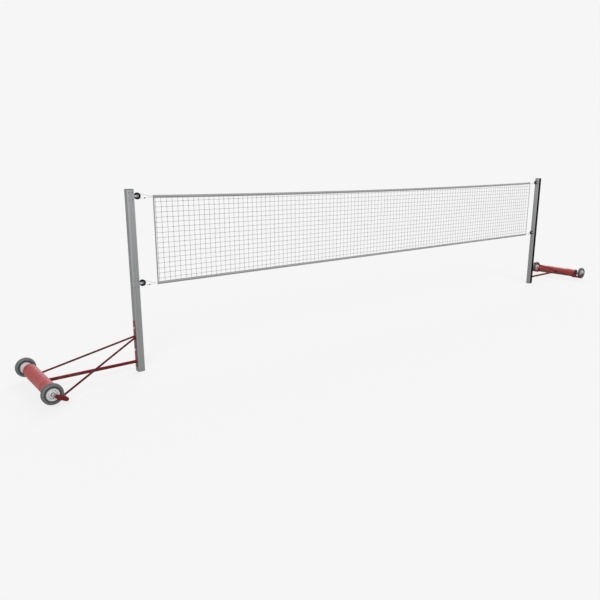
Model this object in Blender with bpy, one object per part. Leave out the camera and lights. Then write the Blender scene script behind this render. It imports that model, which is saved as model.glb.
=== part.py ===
"""A portable sports net on two ballasted, wheeled posts.

The net hangs between two square posts on cords that run over pulleys. Each post is bolted to a
welded frame that trails behind it and ends in a heavy drum between two wheels. The posts stand on
their feet, and the wheels touch the floor once a post is tilted back onto them.

Units are metres and Z is up. The origin is on the floor midway between the posts, and X runs along
the net. Run it with: blender --background --python part.py
"""

import math

import bmesh
import bpy
from mathutils import Vector
from mathutils.geometry import convex_hull_2d

# Clearances

GAP = 0.0003                    # left between pieces that touch or are welded
PIN_CLEARANCE = 0.0003          # between a pin or axle and the hole around it
CORE_CLEARANCE = 0.0005         # between the ballast and the drum around it
CORD_CLEARANCE = 0.0004         # between a cord and the groove or hem it lies in

# Posts

POST_SPACING = 6.18             # between the posts' centre lines
POST_HEIGHT = 1.55              # floor to the top of the cap
POST_SIZE = 0.060
POST_CORNER = 0.005
POST_WALL = 0.003
POST_BORE_CORNER = 0.0025
END_FLANGE = 0.006              # thickness of the cap and of the foot
END_PLUG = 0.022                # how far they reach into the tube
END_CHAMFER = 0.0015
STRIP_WIDTH = 0.049             # the dark wear strip let into one side of each post
STRIP_THICKNESS = 0.0022
STRIP_CORNER = 0.00055
STRIP_RECESS = 0.0016

# Frame behind each post

PLATE_WIDTH = 0.044
PLATE_THICKNESS = 0.003
PLATE_LOW = 0.040
PLATE_HIGH = 0.450
PLATE_CORNER = 0.004
TUBE_RADIUS = 0.0135
TUBE_WALL = 0.0025
TUBE_HEIGHT = 0.0913
STRUT_RADIUS = 0.0075
STRUT_TOP = 0.3105
STRUT_TOP_SPREAD = 0.0330       # between the two struts' centres at the plate
STRUT_FROM_GUSSET = 0.0100      # how far outside the gusset a strut meets the cross tube
STRUT_AIM_DROP = 0.0058         # how far below the cross tube's centre a strut points

# Drum and wheels

AXLE_REACH = 0.833              # post's centre line to the wheels' axle
AXLE_HEIGHT = 0.1105
AXLE_RADIUS = 0.006
COLLAR_RADIUS = 0.010
DRUM_RADIUS = 0.057
DRUM_LENGTH = 0.586
DRUM_WALL = 0.003
DRUM_END_WALL = 0.005
DRUM_EDGE = 0.002
DRUM_VENT_RADIUS = 0.005
DRUM_TOWARD_POST = 0.015        # from the axle to the drum's own axis
DRUM_BELOW_AXLE = 0.011
WHEEL_RADIUS = 0.081
WHEEL_WIDTH = 0.045
WHEEL_TO_GUSSET = 0.0476        # space between the wheel and the gusset on the drum
TREAD_SHARE = 0.45              # share of the wheel's width that runs flat on the floor
SHOULDER_RISE = 0.88            # share of the tyre's depth where its shoulder turns inward
SHOULDER_SHARE = 0.84           # share of the wheel's width there
SIDE_LOW_SHARE = 0.34           # shares of the tyre's depth between which its side is grooved
SIDE_HIGH_SHARE = 0.66
SIDE_GROOVE_DEPTH = 0.0018
RIM_RADIUS = 0.050
RIM_LIP = 0.0045
RIM_LIP_INSET = 0.004           # how far the lip lies inside the tyre's side
RIM_LIP_TAPER = 0.002
RIM_WEB = 0.028
HUB_RADIUS = 0.0125
NUT_RADIUS = 0.0095
NUT_LENGTH = 0.014
NUT_DEPTH = 0.010

# Fork that carries each wheel

GUSSET_THICKNESS = 0.006
GUSSET_AXLE_RADIUS = 0.020
GUSSET_DRUM_RADIUS = 0.014
GUSSET_TUBE_INSET = 0.001       # how far its lower end stays inside the cross tube's skin
CROSS_TUBE_TOWARD_POST = 0.0880
CROSS_TUBE_HEIGHT = 0.0605
CROSS_TUBE_INSIDE = 0.013       # how far it runs in past the drum's end
CROSS_TUBE_BORE = 0.0110
CROSS_TUBE_BORE_DEPTH = 0.060
CROSS_TUBE_PROUD = 0.002        # how far it stands out past the outer leg
LEG_THICKNESS = 0.008
LEG_AXLE_RADIUS = 0.0105
LEG_WAIST_RADIUS = 0.0190       # the leg is widest halfway along
LEG_TUBE_RADIUS = 0.0160
LEG_TO_WHEEL = 0.008            # space between the wheel and the outer leg

# Pulleys

PULLEY_RADIUS = 0.0280
PULLEY_WIDTH = 0.016
PULLEY_RIM = 0.0013             # width of the rim beside the groove
PULLEY_EDGE = 0.00065           # how much of that rim is bevelled
GROOVE_RADIUS = 0.020
PULLEY_FROM_POST = 0.0365       # post's face to the pulley's centre
TOP_PULLEY_RISE = 0.0088        # pulley's centre above the hem that it tightens
LOW_PULLEY_RISE = 0.0185
PIN_RADIUS = 0.004
PIN_HEAD_RADIUS = 0.0065
PIN_HEAD = 0.003
CHEEK_THICKNESS = 0.0025
CHEEK_CLEARANCE = 0.0008
CHEEK_EYE_RADIUS = 0.0098
CHEEK_ROOT = 0.015
BRACKET_THICKNESS = 0.003
BRACKET_WIDTH = 0.025
BRACKET_HEIGHT = 0.060
BRACKET_CORNER = 0.003

# Net, tapes and cords

NET_FROM_POST = 0.202           # post's centre line to the net's end
NET_THICKNESS = 0.0024          # a knot's thickness
NET_OPENINGS_ACROSS = 12        # the plain grid that stands for the netting's fine meshes
NET_OPENINGS_UP = 4
NET_BAND = 0.012                # width of the netting left between two openings
TOP_HEM_DROP = 0.0670           # from the post's top to the top tape's centre at its ends
TOP_HEM_SAG = 0.0235
LOW_HEM_HEIGHT = 0.750
TAPE_HEIGHT = 0.025
TAPE_EDGE = 0.0016              # thickness of the tape's two layers at their edges
TAPE_LAYER = 0.0012
SIDE_TAPE_WIDTH = 0.012
SIDE_TAPE_THICKNESS = 0.0024
CORD_DIAMETER = 0.005
CORD_ENTRY = 0.003              # straight run of cord outside each end of a hem
TAIL_FROM_TAPE = 0.014          # where the cord's tail ends, measured from the tape's end
TAIL_DROP = 0.0065              # how far the tail lies under the standing cord

# Fineness of the round shapes

WHEEL_SIDES = 32
RIM_SIDES = 28
DRUM_SIDES = 32
TUBE_SIDES = 16
ROD_SIDES = 12
SADDLE_SHARES = (1.0, 0.6, 0.2) # rings of points that shape a strut's end to the cross tube
SMALL_SIDES = 16
PULLEY_SIDES = 24
TAPE_SIDES = 8
CORNER_STEPS = 3
HEM_STEPS = 16
SHEAVE_STEPS = 14
CORD_BEVEL_RESOLUTION = 2
SMOOTH_ANGLE = math.radians(35)
WELD_DISTANCE = 1e-6

# Places worked out from the sizes above, in each unit's own frame: x points to the net

post_face = POST_SIZE / 2
post_low = END_FLANGE + GAP
post_high = POST_HEIGHT - END_FLANGE - GAP
plate_inner = post_face + GAP
plate_outer = plate_inner + PLATE_THICKNESS
axle_x = -AXLE_REACH
drum_x = axle_x + DRUM_TOWARD_POST
drum_z = AXLE_HEIGHT - DRUM_BELOW_AXLE
drum_end = DRUM_LENGTH / 2
gusset_inner = drum_end + GAP
gusset_outer = gusset_inner + GUSSET_THICKNESS
cross_tube_x = axle_x + CROSS_TUBE_TOWARD_POST
wheel_inner = gusset_outer + WHEEL_TO_GUSSET
wheel_middle = wheel_inner + WHEEL_WIDTH / 2
wheel_outer = wheel_inner + WHEEL_WIDTH
leg_inner = wheel_outer + LEG_TO_WHEEL
leg_outer = leg_inner + LEG_THICKNESS
pulley_x = post_face + PULLEY_FROM_POST
cheek_inner = PULLEY_WIDTH / 2 + CHEEK_CLEARANCE
cheek_outer = cheek_inner + CHEEK_THICKNESS
cord_radius = CORD_DIAMETER / 2
hem_end = POST_SPACING / 2 - NET_FROM_POST
hem_bore = cord_radius + CORD_CLEARANCE
HEM_HEIGHTS = {"top": POST_HEIGHT - TOP_HEM_DROP, "low": LOW_HEM_HEIGHT}
HEM_SAGS = {"top": TOP_HEM_SAG, "low": 0.0}
PULLEY_RISES = {"top": TOP_PULLEY_RISE, "low": LOW_PULLEY_RISE}
PULLEY_HEIGHTS = {level: HEM_HEIGHTS[level] + PULLEY_RISES[level] for level in HEM_HEIGHTS}


# Finishes

def linear(channel):
    """Turn a display value from 0 to 255 into the linear value that a shader takes."""
    value = channel / 255
    if value <= 0.04045:
        return value / 12.92
    return ((value + 0.055) / 1.055) ** 2.4


def finish(name, colour, roughness, metallic=0.0):
    """Make a material from a display colour, a roughness and a metallic value."""
    material = bpy.data.materials.new(name)
    material.use_nodes = True
    shader = material.node_tree.nodes["Principled BSDF"]
    shader.inputs["Base Color"].default_value = (*(linear(channel) for channel in colour), 1.0)
    shader.inputs["Roughness"].default_value = roughness
    shader.inputs["Metallic"].default_value = metallic
    return material


def make_finishes():
    """Make every material that the pieces wear."""
    return {
        "post": finish("post_grey", (150, 151, 152), 0.45, 0.6),
        "cap": finish("cap_grey", (120, 121, 122), 0.6),
        "strip": finish("strip_black", (32, 33, 34), 0.7),
        "plate": finish("plate_red", (112, 42, 48), 0.5),
        "frame": finish("frame_red", (122, 26, 36), 0.4),
        "drum": finish("drum_red", (168, 74, 74), 0.38),
        "core": finish("core_iron", (70, 68, 66), 0.8, 0.8),
        "tyre": finish("tyre_rubber", (84, 85, 86), 0.8),
        "rim": finish("rim_white", (222, 218, 216), 0.5),
        "steel": finish("steel_plated", (190, 190, 192), 0.3, 0.9),
        "pin": finish("pin_dark", (58, 58, 60), 0.4, 0.7),
        "pulley": finish("pulley_black", (24, 24, 25), 0.45),
        "net": finish("net_twine", (170, 170, 170), 0.9),
        "tape": finish("tape_grey", (160, 160, 160), 0.85),
        "cord": finish("cord_white", (228, 228, 226), 0.8),
    }


# Outlines, as lists of points in a plane

def circle(centre, radius, sides):
    """Return the corners of a regular polygon on a circle."""
    turn = 2 * math.pi / sides
    return [
        (centre[0] + radius * math.cos(step * turn), centre[1] + radius * math.sin(step * turn))
        for step in range(sides)
    ]


def corner_arc(centre, radius, start, steps=CORNER_STEPS):
    """Return a quarter circle of points that starts at the angle start."""
    angles = [start + step * math.pi / 2 / steps for step in range(steps + 1)]
    return [(centre[0] + radius * math.cos(a), centre[1] + radius * math.sin(a)) for a in angles]


def rounded_corners(width, height, radius):
    """Return the four corner arcs of a centred rectangle, anticlockwise from its far corner."""
    across = width / 2 - radius
    up = height / 2 - radius
    centres = [(across, up), (-across, up), (-across, -up), (across, -up)]
    return [
        corner_arc(centre, radius, quarter * math.pi / 2) for quarter, centre in enumerate(centres)
    ]


def rounded_rectangle(width, height, radius):
    """Return the outline of a centred rectangle with round corners."""
    return [point for arc in rounded_corners(width, height, radius) for point in arc]


def shifted(outline, across, up):
    """Move an outline in its plane."""
    return [(point[0] + across, point[1] + up) for point in outline]


def hull(points):
    """Return the outline that a cord pulled tight round the points would take."""
    return [points[index] for index in convex_hull_2d(points)]


def hull_of_circles(circles, sides=ROD_SIDES):
    """Return the outline of a plate whose ends are circles joined by straight edges."""
    return hull([point for x, z, radius in circles for point in circle((x, z), radius, sides)])


# Solids, as bmesh builders

def swept(outline, start, end, along, holes=()):
    """Sweep an outline less its holes along the axis named, from start to end."""
    order = {"X": (2, 0, 1), "Y": (0, 2, 1), "Z": (0, 1, 2)}[along]
    work = bmesh.new()
    edges = []
    for loop in (outline, *holes):
        corners = []
        for across, up in loop:
            flat = (across, up, start)
            corners.append(work.verts.new([flat[index] for index in order]))
        edges += [work.edges.new(pair) for pair in zip(corners, corners[1:] + corners[:1])]
    bmesh.ops.triangle_fill(work, edges=edges, use_beauty=True, use_dissolve=False)
    copied = bmesh.ops.extrude_face_region(work, geom=work.faces[:])
    moved = [item for item in copied["geom"] if isinstance(item, bmesh.types.BMVert)]
    travel = [(0.0, 0.0, end - start)[index] for index in order]
    bmesh.ops.translate(work, verts=moved, vec=travel)
    bmesh.ops.recalc_face_normals(work, faces=work.faces[:])
    return work


def turned(profile, sides):
    """Spin a profile of (radius, distance along Y) points about the Y axis.

    A profile that starts and ends on the axis makes a solid, and any other is closed to a ring.
    """
    work = bmesh.new()
    points = [work.verts.new((radius, along, 0.0)) for radius, along in profile]
    pairs = list(zip(points, points[1:]))
    if profile[0][0] > 0:
        pairs.append((points[-1], points[0]))
    edges = [work.edges.new(pair) for pair in pairs]
    bmesh.ops.spin(
        work, geom=points + edges, cent=(0, 0, 0), axis=(0, 1, 0), angle=2 * math.pi, steps=sides
    )
    bmesh.ops.remove_doubles(work, verts=work.verts[:], dist=WELD_DISTANCE)
    bmesh.ops.recalc_face_normals(work, faces=work.faces[:])
    return work


def lofted(loops, ring=False):
    """Skin over equal loops of points in turn, then cap the ends or join them into a ring."""
    work = bmesh.new()
    rows = [[work.verts.new(point) for point in loop] for loop in loops]
    if ring:
        rows.append(rows[0])
    for near, far in zip(rows, rows[1:]):
        for index in range(len(near)):
            behind = index - 1
            work.faces.new((near[behind], near[index], far[index], far[behind]))
    if not ring:
        work.faces.new(rows[0])
        work.faces.new(rows[-1])
    bmesh.ops.recalc_face_normals(work, faces=work.faces[:])
    return work


# Objects

def add_empty(name, location, turn=0.0):
    """Add an empty that carries other objects."""
    empty = bpy.data.objects.new(name, None)
    empty.location = location
    empty.rotation_euler = (0.0, 0.0, turn)
    bpy.context.scene.collection.objects.link(empty)
    return empty


def add_piece(name, work, material, parent, location=(0.0, 0.0, 0.0)):
    """Turn a builder into a named, painted object on its parent."""
    mesh = bpy.data.meshes.new(name)
    work.to_mesh(mesh)
    work.free()
    mesh.shade_smooth()
    mesh.set_sharp_from_angle(angle=SMOOTH_ANGLE)
    mesh.materials.append(material)
    piece = bpy.data.objects.new(name, mesh)
    piece.parent = parent
    piece.location = location
    bpy.context.scene.collection.objects.link(piece)
    return piece


def weld_on(piece, extra):
    """Weld another solid onto a piece, and leave that solid in the scene as a hidden guide."""
    extra.hide_render = True
    extra.display_type = "WIRE"
    weld = piece.modifiers.new(extra.name, "BOOLEAN")
    weld.operation = "UNION"
    weld.solver = "EXACT"
    weld.object = extra


# Posts

def post_outline():
    """Return the post's outer outline, with the wear strip's recess in its far side."""
    arcs = rounded_corners(POST_SIZE, POST_SIZE, POST_CORNER)
    edge = STRIP_WIDTH / 2 + GAP
    floor = post_face - STRIP_RECESS
    recess = [(edge, post_face), (edge, floor), (-edge, floor), (-edge, post_face)]
    return arcs[0] + recess + arcs[1] + arcs[2] + arcs[3]


def add_post(prefix, unit, finishes):
    """Add the square tube and the wear strip in its side."""
    inside = POST_SIZE - 2 * POST_WALL
    bore = rounded_rectangle(inside, inside, POST_BORE_CORNER)
    tube = swept(post_outline(), post_low, post_high, "Z", holes=[bore])
    add_piece(prefix + "_post", tube, finishes["post"], unit)

    low = post_face - STRIP_RECESS + GAP
    strip_outline = rounded_rectangle(STRIP_WIDTH, STRIP_THICKNESS, STRIP_CORNER)
    strip_outline = shifted(strip_outline, 0.0, low + STRIP_THICKNESS / 2)
    strip = swept(strip_outline, post_low, post_high, "Z")
    add_piece(prefix + "_side_strip", strip, finishes["strip"], unit)


def end_piece(outer_z, flange_z, plug_z):
    """Return a flange with a plug on it, from its outer face to the plug's end."""
    away = 1 if outer_z > flange_z else -1
    plug_size = POST_SIZE - 2 * (POST_WALL + GAP)
    face_size = POST_SIZE - 2 * END_CHAMFER
    face = rounded_rectangle(face_size, face_size, POST_CORNER - END_CHAMFER / 2)
    flange = rounded_rectangle(POST_SIZE, POST_SIZE, POST_CORNER)
    plug = rounded_rectangle(plug_size, plug_size, POST_BORE_CORNER)
    levels = [
        (face, outer_z),
        (flange, outer_z - away * END_CHAMFER),
        (flange, flange_z),
        (plug, flange_z),
        (plug, plug_z),
    ]
    return lofted([[(x, y, z) for x, y in outline] for outline, z in levels])


def add_post_ends(prefix, unit, finishes):
    """Add the cap on top of the post and the foot under it."""
    cap_low = POST_HEIGHT - END_FLANGE
    cap = end_piece(POST_HEIGHT, cap_low, cap_low - END_PLUG)
    add_piece(prefix + "_post_cap", cap, finishes["cap"], unit)
    foot = end_piece(0.0, END_FLANGE, END_FLANGE + END_PLUG)
    add_piece(prefix + "_post_foot", foot, finishes["cap"], unit)


# Frame

def add_back_plate(prefix, unit, finishes):
    """Add the plate that bolts the frame to the post's outer face."""
    height = PLATE_HIGH - PLATE_LOW
    outline = rounded_rectangle(PLATE_WIDTH, height, PLATE_CORNER)
    outline = shifted(outline, 0.0, PLATE_LOW + height / 2)
    plate = swept(outline, -plate_outer, -plate_inner, "X")
    add_piece(prefix + "_back_plate", plate, finishes["plate"], unit)


def drum_surface_x(height):
    """Return how far toward the post the drum's skin reaches at a height, plus the weld gap."""
    return drum_x + math.sqrt((DRUM_RADIUS + GAP) ** 2 - (height - drum_z) ** 2)


def add_main_tube(prefix, unit, finishes):
    """Add the tube from the plate to the drum, its far end shaped to the drum's skin."""
    loops = []
    near = -plate_outer - GAP
    for radius, at_drum in (
        (TUBE_RADIUS, False), (TUBE_RADIUS, True),
        (TUBE_RADIUS - TUBE_WALL, True), (TUBE_RADIUS - TUBE_WALL, False),
    ):
        ring = circle((0.0, TUBE_HEIGHT), radius, TUBE_SIDES)
        loops.append([(drum_surface_x(z) if at_drum else near, y, z) for y, z in ring])
    add_piece(prefix + "_main_tube", lofted(loops, ring=True), finishes["frame"], unit)


def add_strut(prefix, unit, finishes, side, end_name):
    """Add the thin strut from the plate down to the cross tube on one side."""
    top = Vector((-plate_outer - GAP, side * STRUT_TOP_SPREAD / 2, STRUT_TOP))
    target_y = side * (gusset_outer + STRUT_FROM_GUSSET)
    target = Vector((cross_tube_x, target_y, CROSS_TUBE_HEIGHT - STRUT_AIM_DROP))
    along = (target - top).normalized()
    sideways = along.cross(Vector((0.0, 0.0, 1.0))).normalized()
    upward = sideways.cross(along)
    seat_radius = TUBE_RADIUS + GAP
    starts = {
        share: [
            top + across * sideways + up * upward
            for across, up in circle((0.0, 0.0), STRUT_RADIUS * share, ROD_SIDES)
        ]
        for share in SADDLE_SHARES
    }
    loops = [[start + along * (top.x - start.x) / along.x for start in starts[1.0]]]
    for share in SADDLE_SHARES:
        loops.append([on_cross_tube(start, along, seat_radius) for start in starts[share]])
    add_piece(f"{prefix}_strut_{end_name}", lofted(loops), finishes["frame"], unit)


def on_cross_tube(start, along, radius):
    """Follow a line from start until it is at a given radius from the cross tube's axis."""
    dx = start.x - cross_tube_x
    dz = start.z - CROSS_TUBE_HEIGHT
    squared = along.x ** 2 + along.z ** 2
    half = dx * along.x + dz * along.z
    rest = dx ** 2 + dz ** 2 - radius ** 2
    distance = (-half - math.sqrt(half ** 2 - squared * rest)) / squared
    return start + along * distance


def add_drum(prefix, unit, finishes):
    """Add the hollow drum, and the ballast inside it."""
    skin = DRUM_RADIUS
    hollow = skin - DRUM_WALL
    inner_end = drum_end - DRUM_END_WALL
    half = [(DRUM_VENT_RADIUS, drum_end), (skin - DRUM_EDGE, drum_end), (skin, drum_end - DRUM_EDGE)]
    cavity = [(hollow, inner_end), (DRUM_VENT_RADIUS, inner_end)]
    profile = mirrored_ring(half, cavity)
    centre = (drum_x, 0.0, drum_z)
    add_piece(prefix + "_drum_shell", turned(profile, DRUM_SIDES), finishes["drum"], unit, centre)

    radius = hollow - CORE_CLEARANCE
    end = inner_end - CORE_CLEARANCE
    core = turned([(0.0, -end), (radius, -end), (radius, end), (0.0, end)], DRUM_SIDES)
    add_piece(prefix + "_ballast_core", core, finishes["core"], unit, centre)


def mirrored_ring(outside, inside):
    """Mirror the outer and inner halves of a profile, and return the whole ring in order."""
    outer = outside + [(radius, -along) for radius, along in reversed(outside)]
    inner = [(radius, -along) for radius, along in reversed(inside)] + inside
    return outer + inner


# Wheels

def add_fork(prefix, unit, finishes, side, end_name):
    """Add one wheel's fork: gusset on the drum, cross tube and outer leg, welded together."""
    name = f"{prefix}_wheel_fork_{end_name}"
    axle = (axle_x, AXLE_HEIGHT)
    tube = (cross_tube_x, CROSS_TUBE_HEIGHT)
    axle_hole = circle(axle, AXLE_RADIUS + PIN_CLEARANCE, SMALL_SIDES)

    gusset_outline = hull_of_circles([
        (*axle, GUSSET_AXLE_RADIUS),
        (drum_x, drum_z, GUSSET_DRUM_RADIUS),
        (*tube, TUBE_RADIUS - GUSSET_TUBE_INSET),
    ])
    gusset = swept(gusset_outline, side * gusset_inner, side * gusset_outer, "Y", [axle_hole])
    fork = add_piece(name, gusset, finishes["frame"], unit)

    mouth = leg_outer + CROSS_TUBE_PROUD
    bore_end = mouth - CROSS_TUBE_BORE_DEPTH
    profile = [
        (0.0, drum_end - CROSS_TUBE_INSIDE),
        (TUBE_RADIUS, drum_end - CROSS_TUBE_INSIDE),
        (TUBE_RADIUS, mouth),
        (CROSS_TUBE_BORE, mouth),
        (CROSS_TUBE_BORE, bore_end),
        (0.0, bore_end),
    ]
    cross = turned([(radius, side * along) for radius, along in profile], TUBE_SIDES)
    place = (cross_tube_x, 0.0, CROSS_TUBE_HEIGHT)
    weld_on(fork, add_piece(name + "_tube_guide", cross, finishes["frame"], unit, place))

    waist = ((axle[0] + tube[0]) / 2, (axle[1] + tube[1]) / 2)
    leg_outline = hull_of_circles([
        (*axle, LEG_AXLE_RADIUS), (*waist, LEG_WAIST_RADIUS), (*tube, LEG_TUBE_RADIUS),
    ])
    mouth_hole = circle(tube, (CROSS_TUBE_BORE + TUBE_RADIUS) / 2, SMALL_SIDES)
    leg = swept(leg_outline, side * leg_inner, side * leg_outer, "Y", [axle_hole, mouth_hole])
    weld_on(fork, add_piece(name + "_leg_guide", leg, finishes["frame"], unit))


def add_axle(prefix, unit, finishes, side, end_name):
    """Add the stub axle with its collar, and the nut on its outer end."""
    centre = (axle_x, 0.0, AXLE_HEIGHT)
    nut_face = leg_outer + GAP
    shaft_end = nut_face + NUT_DEPTH - GAP
    profile = [
        (0.0, gusset_inner),
        (AXLE_RADIUS, gusset_inner),
        (AXLE_RADIUS, gusset_outer + GAP),
        (COLLAR_RADIUS, gusset_outer + GAP),
        (COLLAR_RADIUS, wheel_inner - GAP),
        (AXLE_RADIUS, wheel_inner - GAP),
        (AXLE_RADIUS, shaft_end),
        (0.0, shaft_end),
    ]
    axle = turned([(radius, side * along) for radius, along in profile], SMALL_SIDES)
    add_piece(f"{prefix}_axle_{end_name}", axle, finishes["steel"], unit, centre)

    bore = AXLE_RADIUS + PIN_CLEARANCE
    shoulder = nut_face + NUT_LENGTH / 2
    tip = nut_face + NUT_LENGTH
    profile = [
        (0.0, nut_face + NUT_DEPTH),
        (bore, nut_face + NUT_DEPTH),
        (bore, nut_face),
        (NUT_RADIUS, nut_face),
        (NUT_RADIUS, shoulder),
        (NUT_RADIUS * math.cos(math.pi / 4), shoulder + (tip - shoulder) * math.sin(math.pi / 4)),
        (0.0, tip),
    ]
    nut = turned([(radius, side * along) for radius, along in profile], SMALL_SIDES)
    add_piece(f"{prefix}_axle_nut_{end_name}", nut, finishes["pin"], unit, centre)


def tyre_profile():
    """Return a solid tyre's ring: round shoulders, and one groove in each side."""
    side = WHEEL_WIDTH / 2
    depth = WHEEL_RADIUS - RIM_RADIUS
    side_low = RIM_RADIUS + depth * SIDE_LOW_SHARE
    side_high = RIM_RADIUS + depth * SIDE_HIGH_SHARE
    half = [
        (WHEEL_RADIUS, side * TREAD_SHARE),
        (RIM_RADIUS + depth * SHOULDER_RISE, side * SHOULDER_SHARE),
        (side_high, side),
        ((side_low + side_high) / 2, side - SIDE_GROOVE_DEPTH),
        (side_low, side),
        (RIM_RADIUS + GAP, side - RIM_LIP_INSET),
    ]
    return half[::-1] + [(radius, -along) for radius, along in half]


def rim_profile(side):
    """Return the wheel centre's ring: lips, a thick web, and a hub that reaches the outer leg."""
    lip = WHEEL_WIDTH / 2 - RIM_LIP_INSET
    web = RIM_WEB / 2
    bore = AXLE_RADIUS + PIN_CLEARANCE
    inner_hub = WHEEL_WIDTH / 2
    outer_hub = leg_inner - GAP - wheel_middle
    lip_inside = RIM_RADIUS - RIM_LIP
    profile = [
        (bore, -inner_hub),
        (HUB_RADIUS, -inner_hub),
        (HUB_RADIUS, -web),
        (lip_inside - RIM_LIP_TAPER, -web),
        (lip_inside, -lip),
        (RIM_RADIUS, -lip),
        (RIM_RADIUS, lip),
        (lip_inside, lip),
        (lip_inside - RIM_LIP_TAPER, web),
        (HUB_RADIUS, web),
        (HUB_RADIUS, outer_hub),
        (bore, outer_hub),
    ]
    return [(radius, side * along) for radius, along in profile]


def add_wheel(prefix, unit, finishes, side, end_name):
    """Add one wheel, its tyre and its centre, both with their origin on the axle."""
    centre = (axle_x, side * wheel_middle, AXLE_HEIGHT)
    tyre = turned(tyre_profile(), WHEEL_SIDES)
    add_piece(f"{prefix}_tyre_{end_name}", tyre, finishes["tyre"], unit, centre)
    rim = turned(rim_profile(side), RIM_SIDES)
    add_piece(f"{prefix}_rim_{end_name}", rim, finishes["rim"], unit, centre)


# Pulleys

def add_pulley(prefix, unit, finishes, level):
    """Add one grooved pulley, its bracket on the post, and the pin that carries it."""
    height = PULLEY_HEIGHTS[level]
    centre = (pulley_x, 0.0, height)
    half = PULLEY_WIDTH / 2
    groove_half = cord_radius + CORD_CLEARANCE
    bore = PIN_RADIUS + PIN_CLEARANCE
    outside = [(PULLEY_RADIUS - PULLEY_RIM, half), (PULLEY_RADIUS, half - PULLEY_EDGE)]
    groove = [(PULLEY_RADIUS, half - PULLEY_RIM), (GROOVE_RADIUS, groove_half)]
    side = [(bore, half)] + outside + groove
    profile = side + [(radius, -along) for radius, along in reversed(side)]
    sheave = turned(profile, PULLEY_SIDES)
    add_piece(f"{prefix}_pulley_{level}", sheave, finishes["pulley"], unit, centre)

    name = f"{prefix}_pulley_bracket_{level}"
    base_outline = shifted(rounded_rectangle(BRACKET_WIDTH, BRACKET_HEIGHT, BRACKET_CORNER), 0, height)
    base_inner = post_face + GAP
    base = swept(base_outline, base_inner, base_inner + BRACKET_THICKNESS, "X")
    bracket = add_piece(name, base, finishes["steel"], unit)
    root_x = base_inner + BRACKET_THICKNESS / 2
    root = [(root_x, height - CHEEK_ROOT / 2), (root_x, height + CHEEK_ROOT / 2)]
    outline = hull(root + circle((pulley_x, height), CHEEK_EYE_RADIUS, SMALL_SIDES))
    hole = circle((pulley_x, height), bore, SMALL_SIDES)
    for number, cheek_side in enumerate((-1, 1), start=1):
        cheek = swept(outline, cheek_side * cheek_inner, cheek_side * cheek_outer, "Y", [hole])
        weld_on(bracket, add_piece(f"{name}_cheek_{number}_guide", cheek, finishes["steel"], unit))

    head_inner = cheek_outer + GAP
    head_outer = head_inner + PIN_HEAD
    half_pin = [(0.0, head_outer), (PIN_HEAD_RADIUS, head_outer), (PIN_HEAD_RADIUS, head_inner),
                (PIN_RADIUS, head_inner)]
    profile = half_pin + [(radius, -along) for radius, along in reversed(half_pin)]
    pin = turned(profile, SMALL_SIDES)
    add_piece(f"{prefix}_pulley_pin_{level}", pin, finishes["pin"], unit, centre)


# Net

def hem_height(level, x):
    """Return the height of a hem's centre line: the top one hangs in a shallow curve."""
    return HEM_HEIGHTS[level] - HEM_SAGS[level] * (1 - (x / hem_end) ** 2)


def hem_stations(level):
    """Return the places along a hem where its pieces have a cross-section."""
    steps = HEM_STEPS if HEM_SAGS[level] > 0 else 1
    return [hem_end * (2 * step / steps - 1) for step in range(steps + 1)]


def add_tape(net, finishes, level):
    """Add a tape folded round its cord: two layers, bulged where the cord runs."""
    edge_radius = TAPE_EDGE / 2
    edge_height = TAPE_HEIGHT / 2 - edge_radius
    bulge = hem_bore + TAPE_LAYER
    outer = hull_of_circles([
        (0.0, 0.0, bulge), (0.0, edge_height, edge_radius), (0.0, -edge_height, edge_radius),
    ], TAPE_SIDES)
    inner = circle((0.0, 0.0), hem_bore, len(outer))
    stations = hem_stations(level)
    start = nearest_index(inner, outer[0])
    inner = inner[start:] + inner[:start]
    if turns_left(outer) != turns_left(inner):
        inner = [inner[0]] + inner[:0:-1]
    loops = []
    for outline, places in ((outer, stations), (inner, stations[::-1])):
        for x in places:
            centre = hem_height(level, x)
            loops.append([(x, y, centre + z) for y, z in outline])
    add_piece(f"{level}_tape", lofted(loops, ring=True), finishes["tape"], net)


def nearest_index(points, target):
    """Return the index of the point in the direction nearest to the target's."""
    wanted = math.atan2(target[1], target[0])
    differences = [
        abs(math.remainder(math.atan2(point[1], point[0]) - wanted, 2 * math.pi)) for point in points
    ]
    return differences.index(min(differences))


def turns_left(outline):
    """Say whether an outline runs anticlockwise."""
    pairs = zip(outline, outline[1:] + outline[:1])
    return sum(a[0] * b[1] - b[0] * a[1] for a, b in pairs) > 0


def net_top(x):
    """Return the height of the netting's upper edge, just under the top tape."""
    return hem_height("top", x) - TAPE_HEIGHT / 2 - GAP


def net_openings(side, low):
    """Return the outlines of the openings: level rows, the highest of which follows the top tape."""
    pitch_x = (2 * side - NET_BAND) / NET_OPENINGS_ACROSS
    pitch_z = (net_top(0.0) - low - NET_BAND) / NET_OPENINGS_UP
    openings = []
    for row in range(NET_OPENINGS_UP):
        bottom = low + NET_BAND + pitch_z * row
        for column in range(NET_OPENINGS_ACROSS):
            left = -side + NET_BAND + pitch_x * column
            right = left + pitch_x - NET_BAND
            tops = [bottom + pitch_z - NET_BAND] * 2
            if row == NET_OPENINGS_UP - 1:
                tops = [net_top(x) - NET_BAND for x in (right, left)]
            openings.append([(left, bottom), (right, bottom), (right, tops[0]), (left, tops[1])])
    return openings


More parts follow.
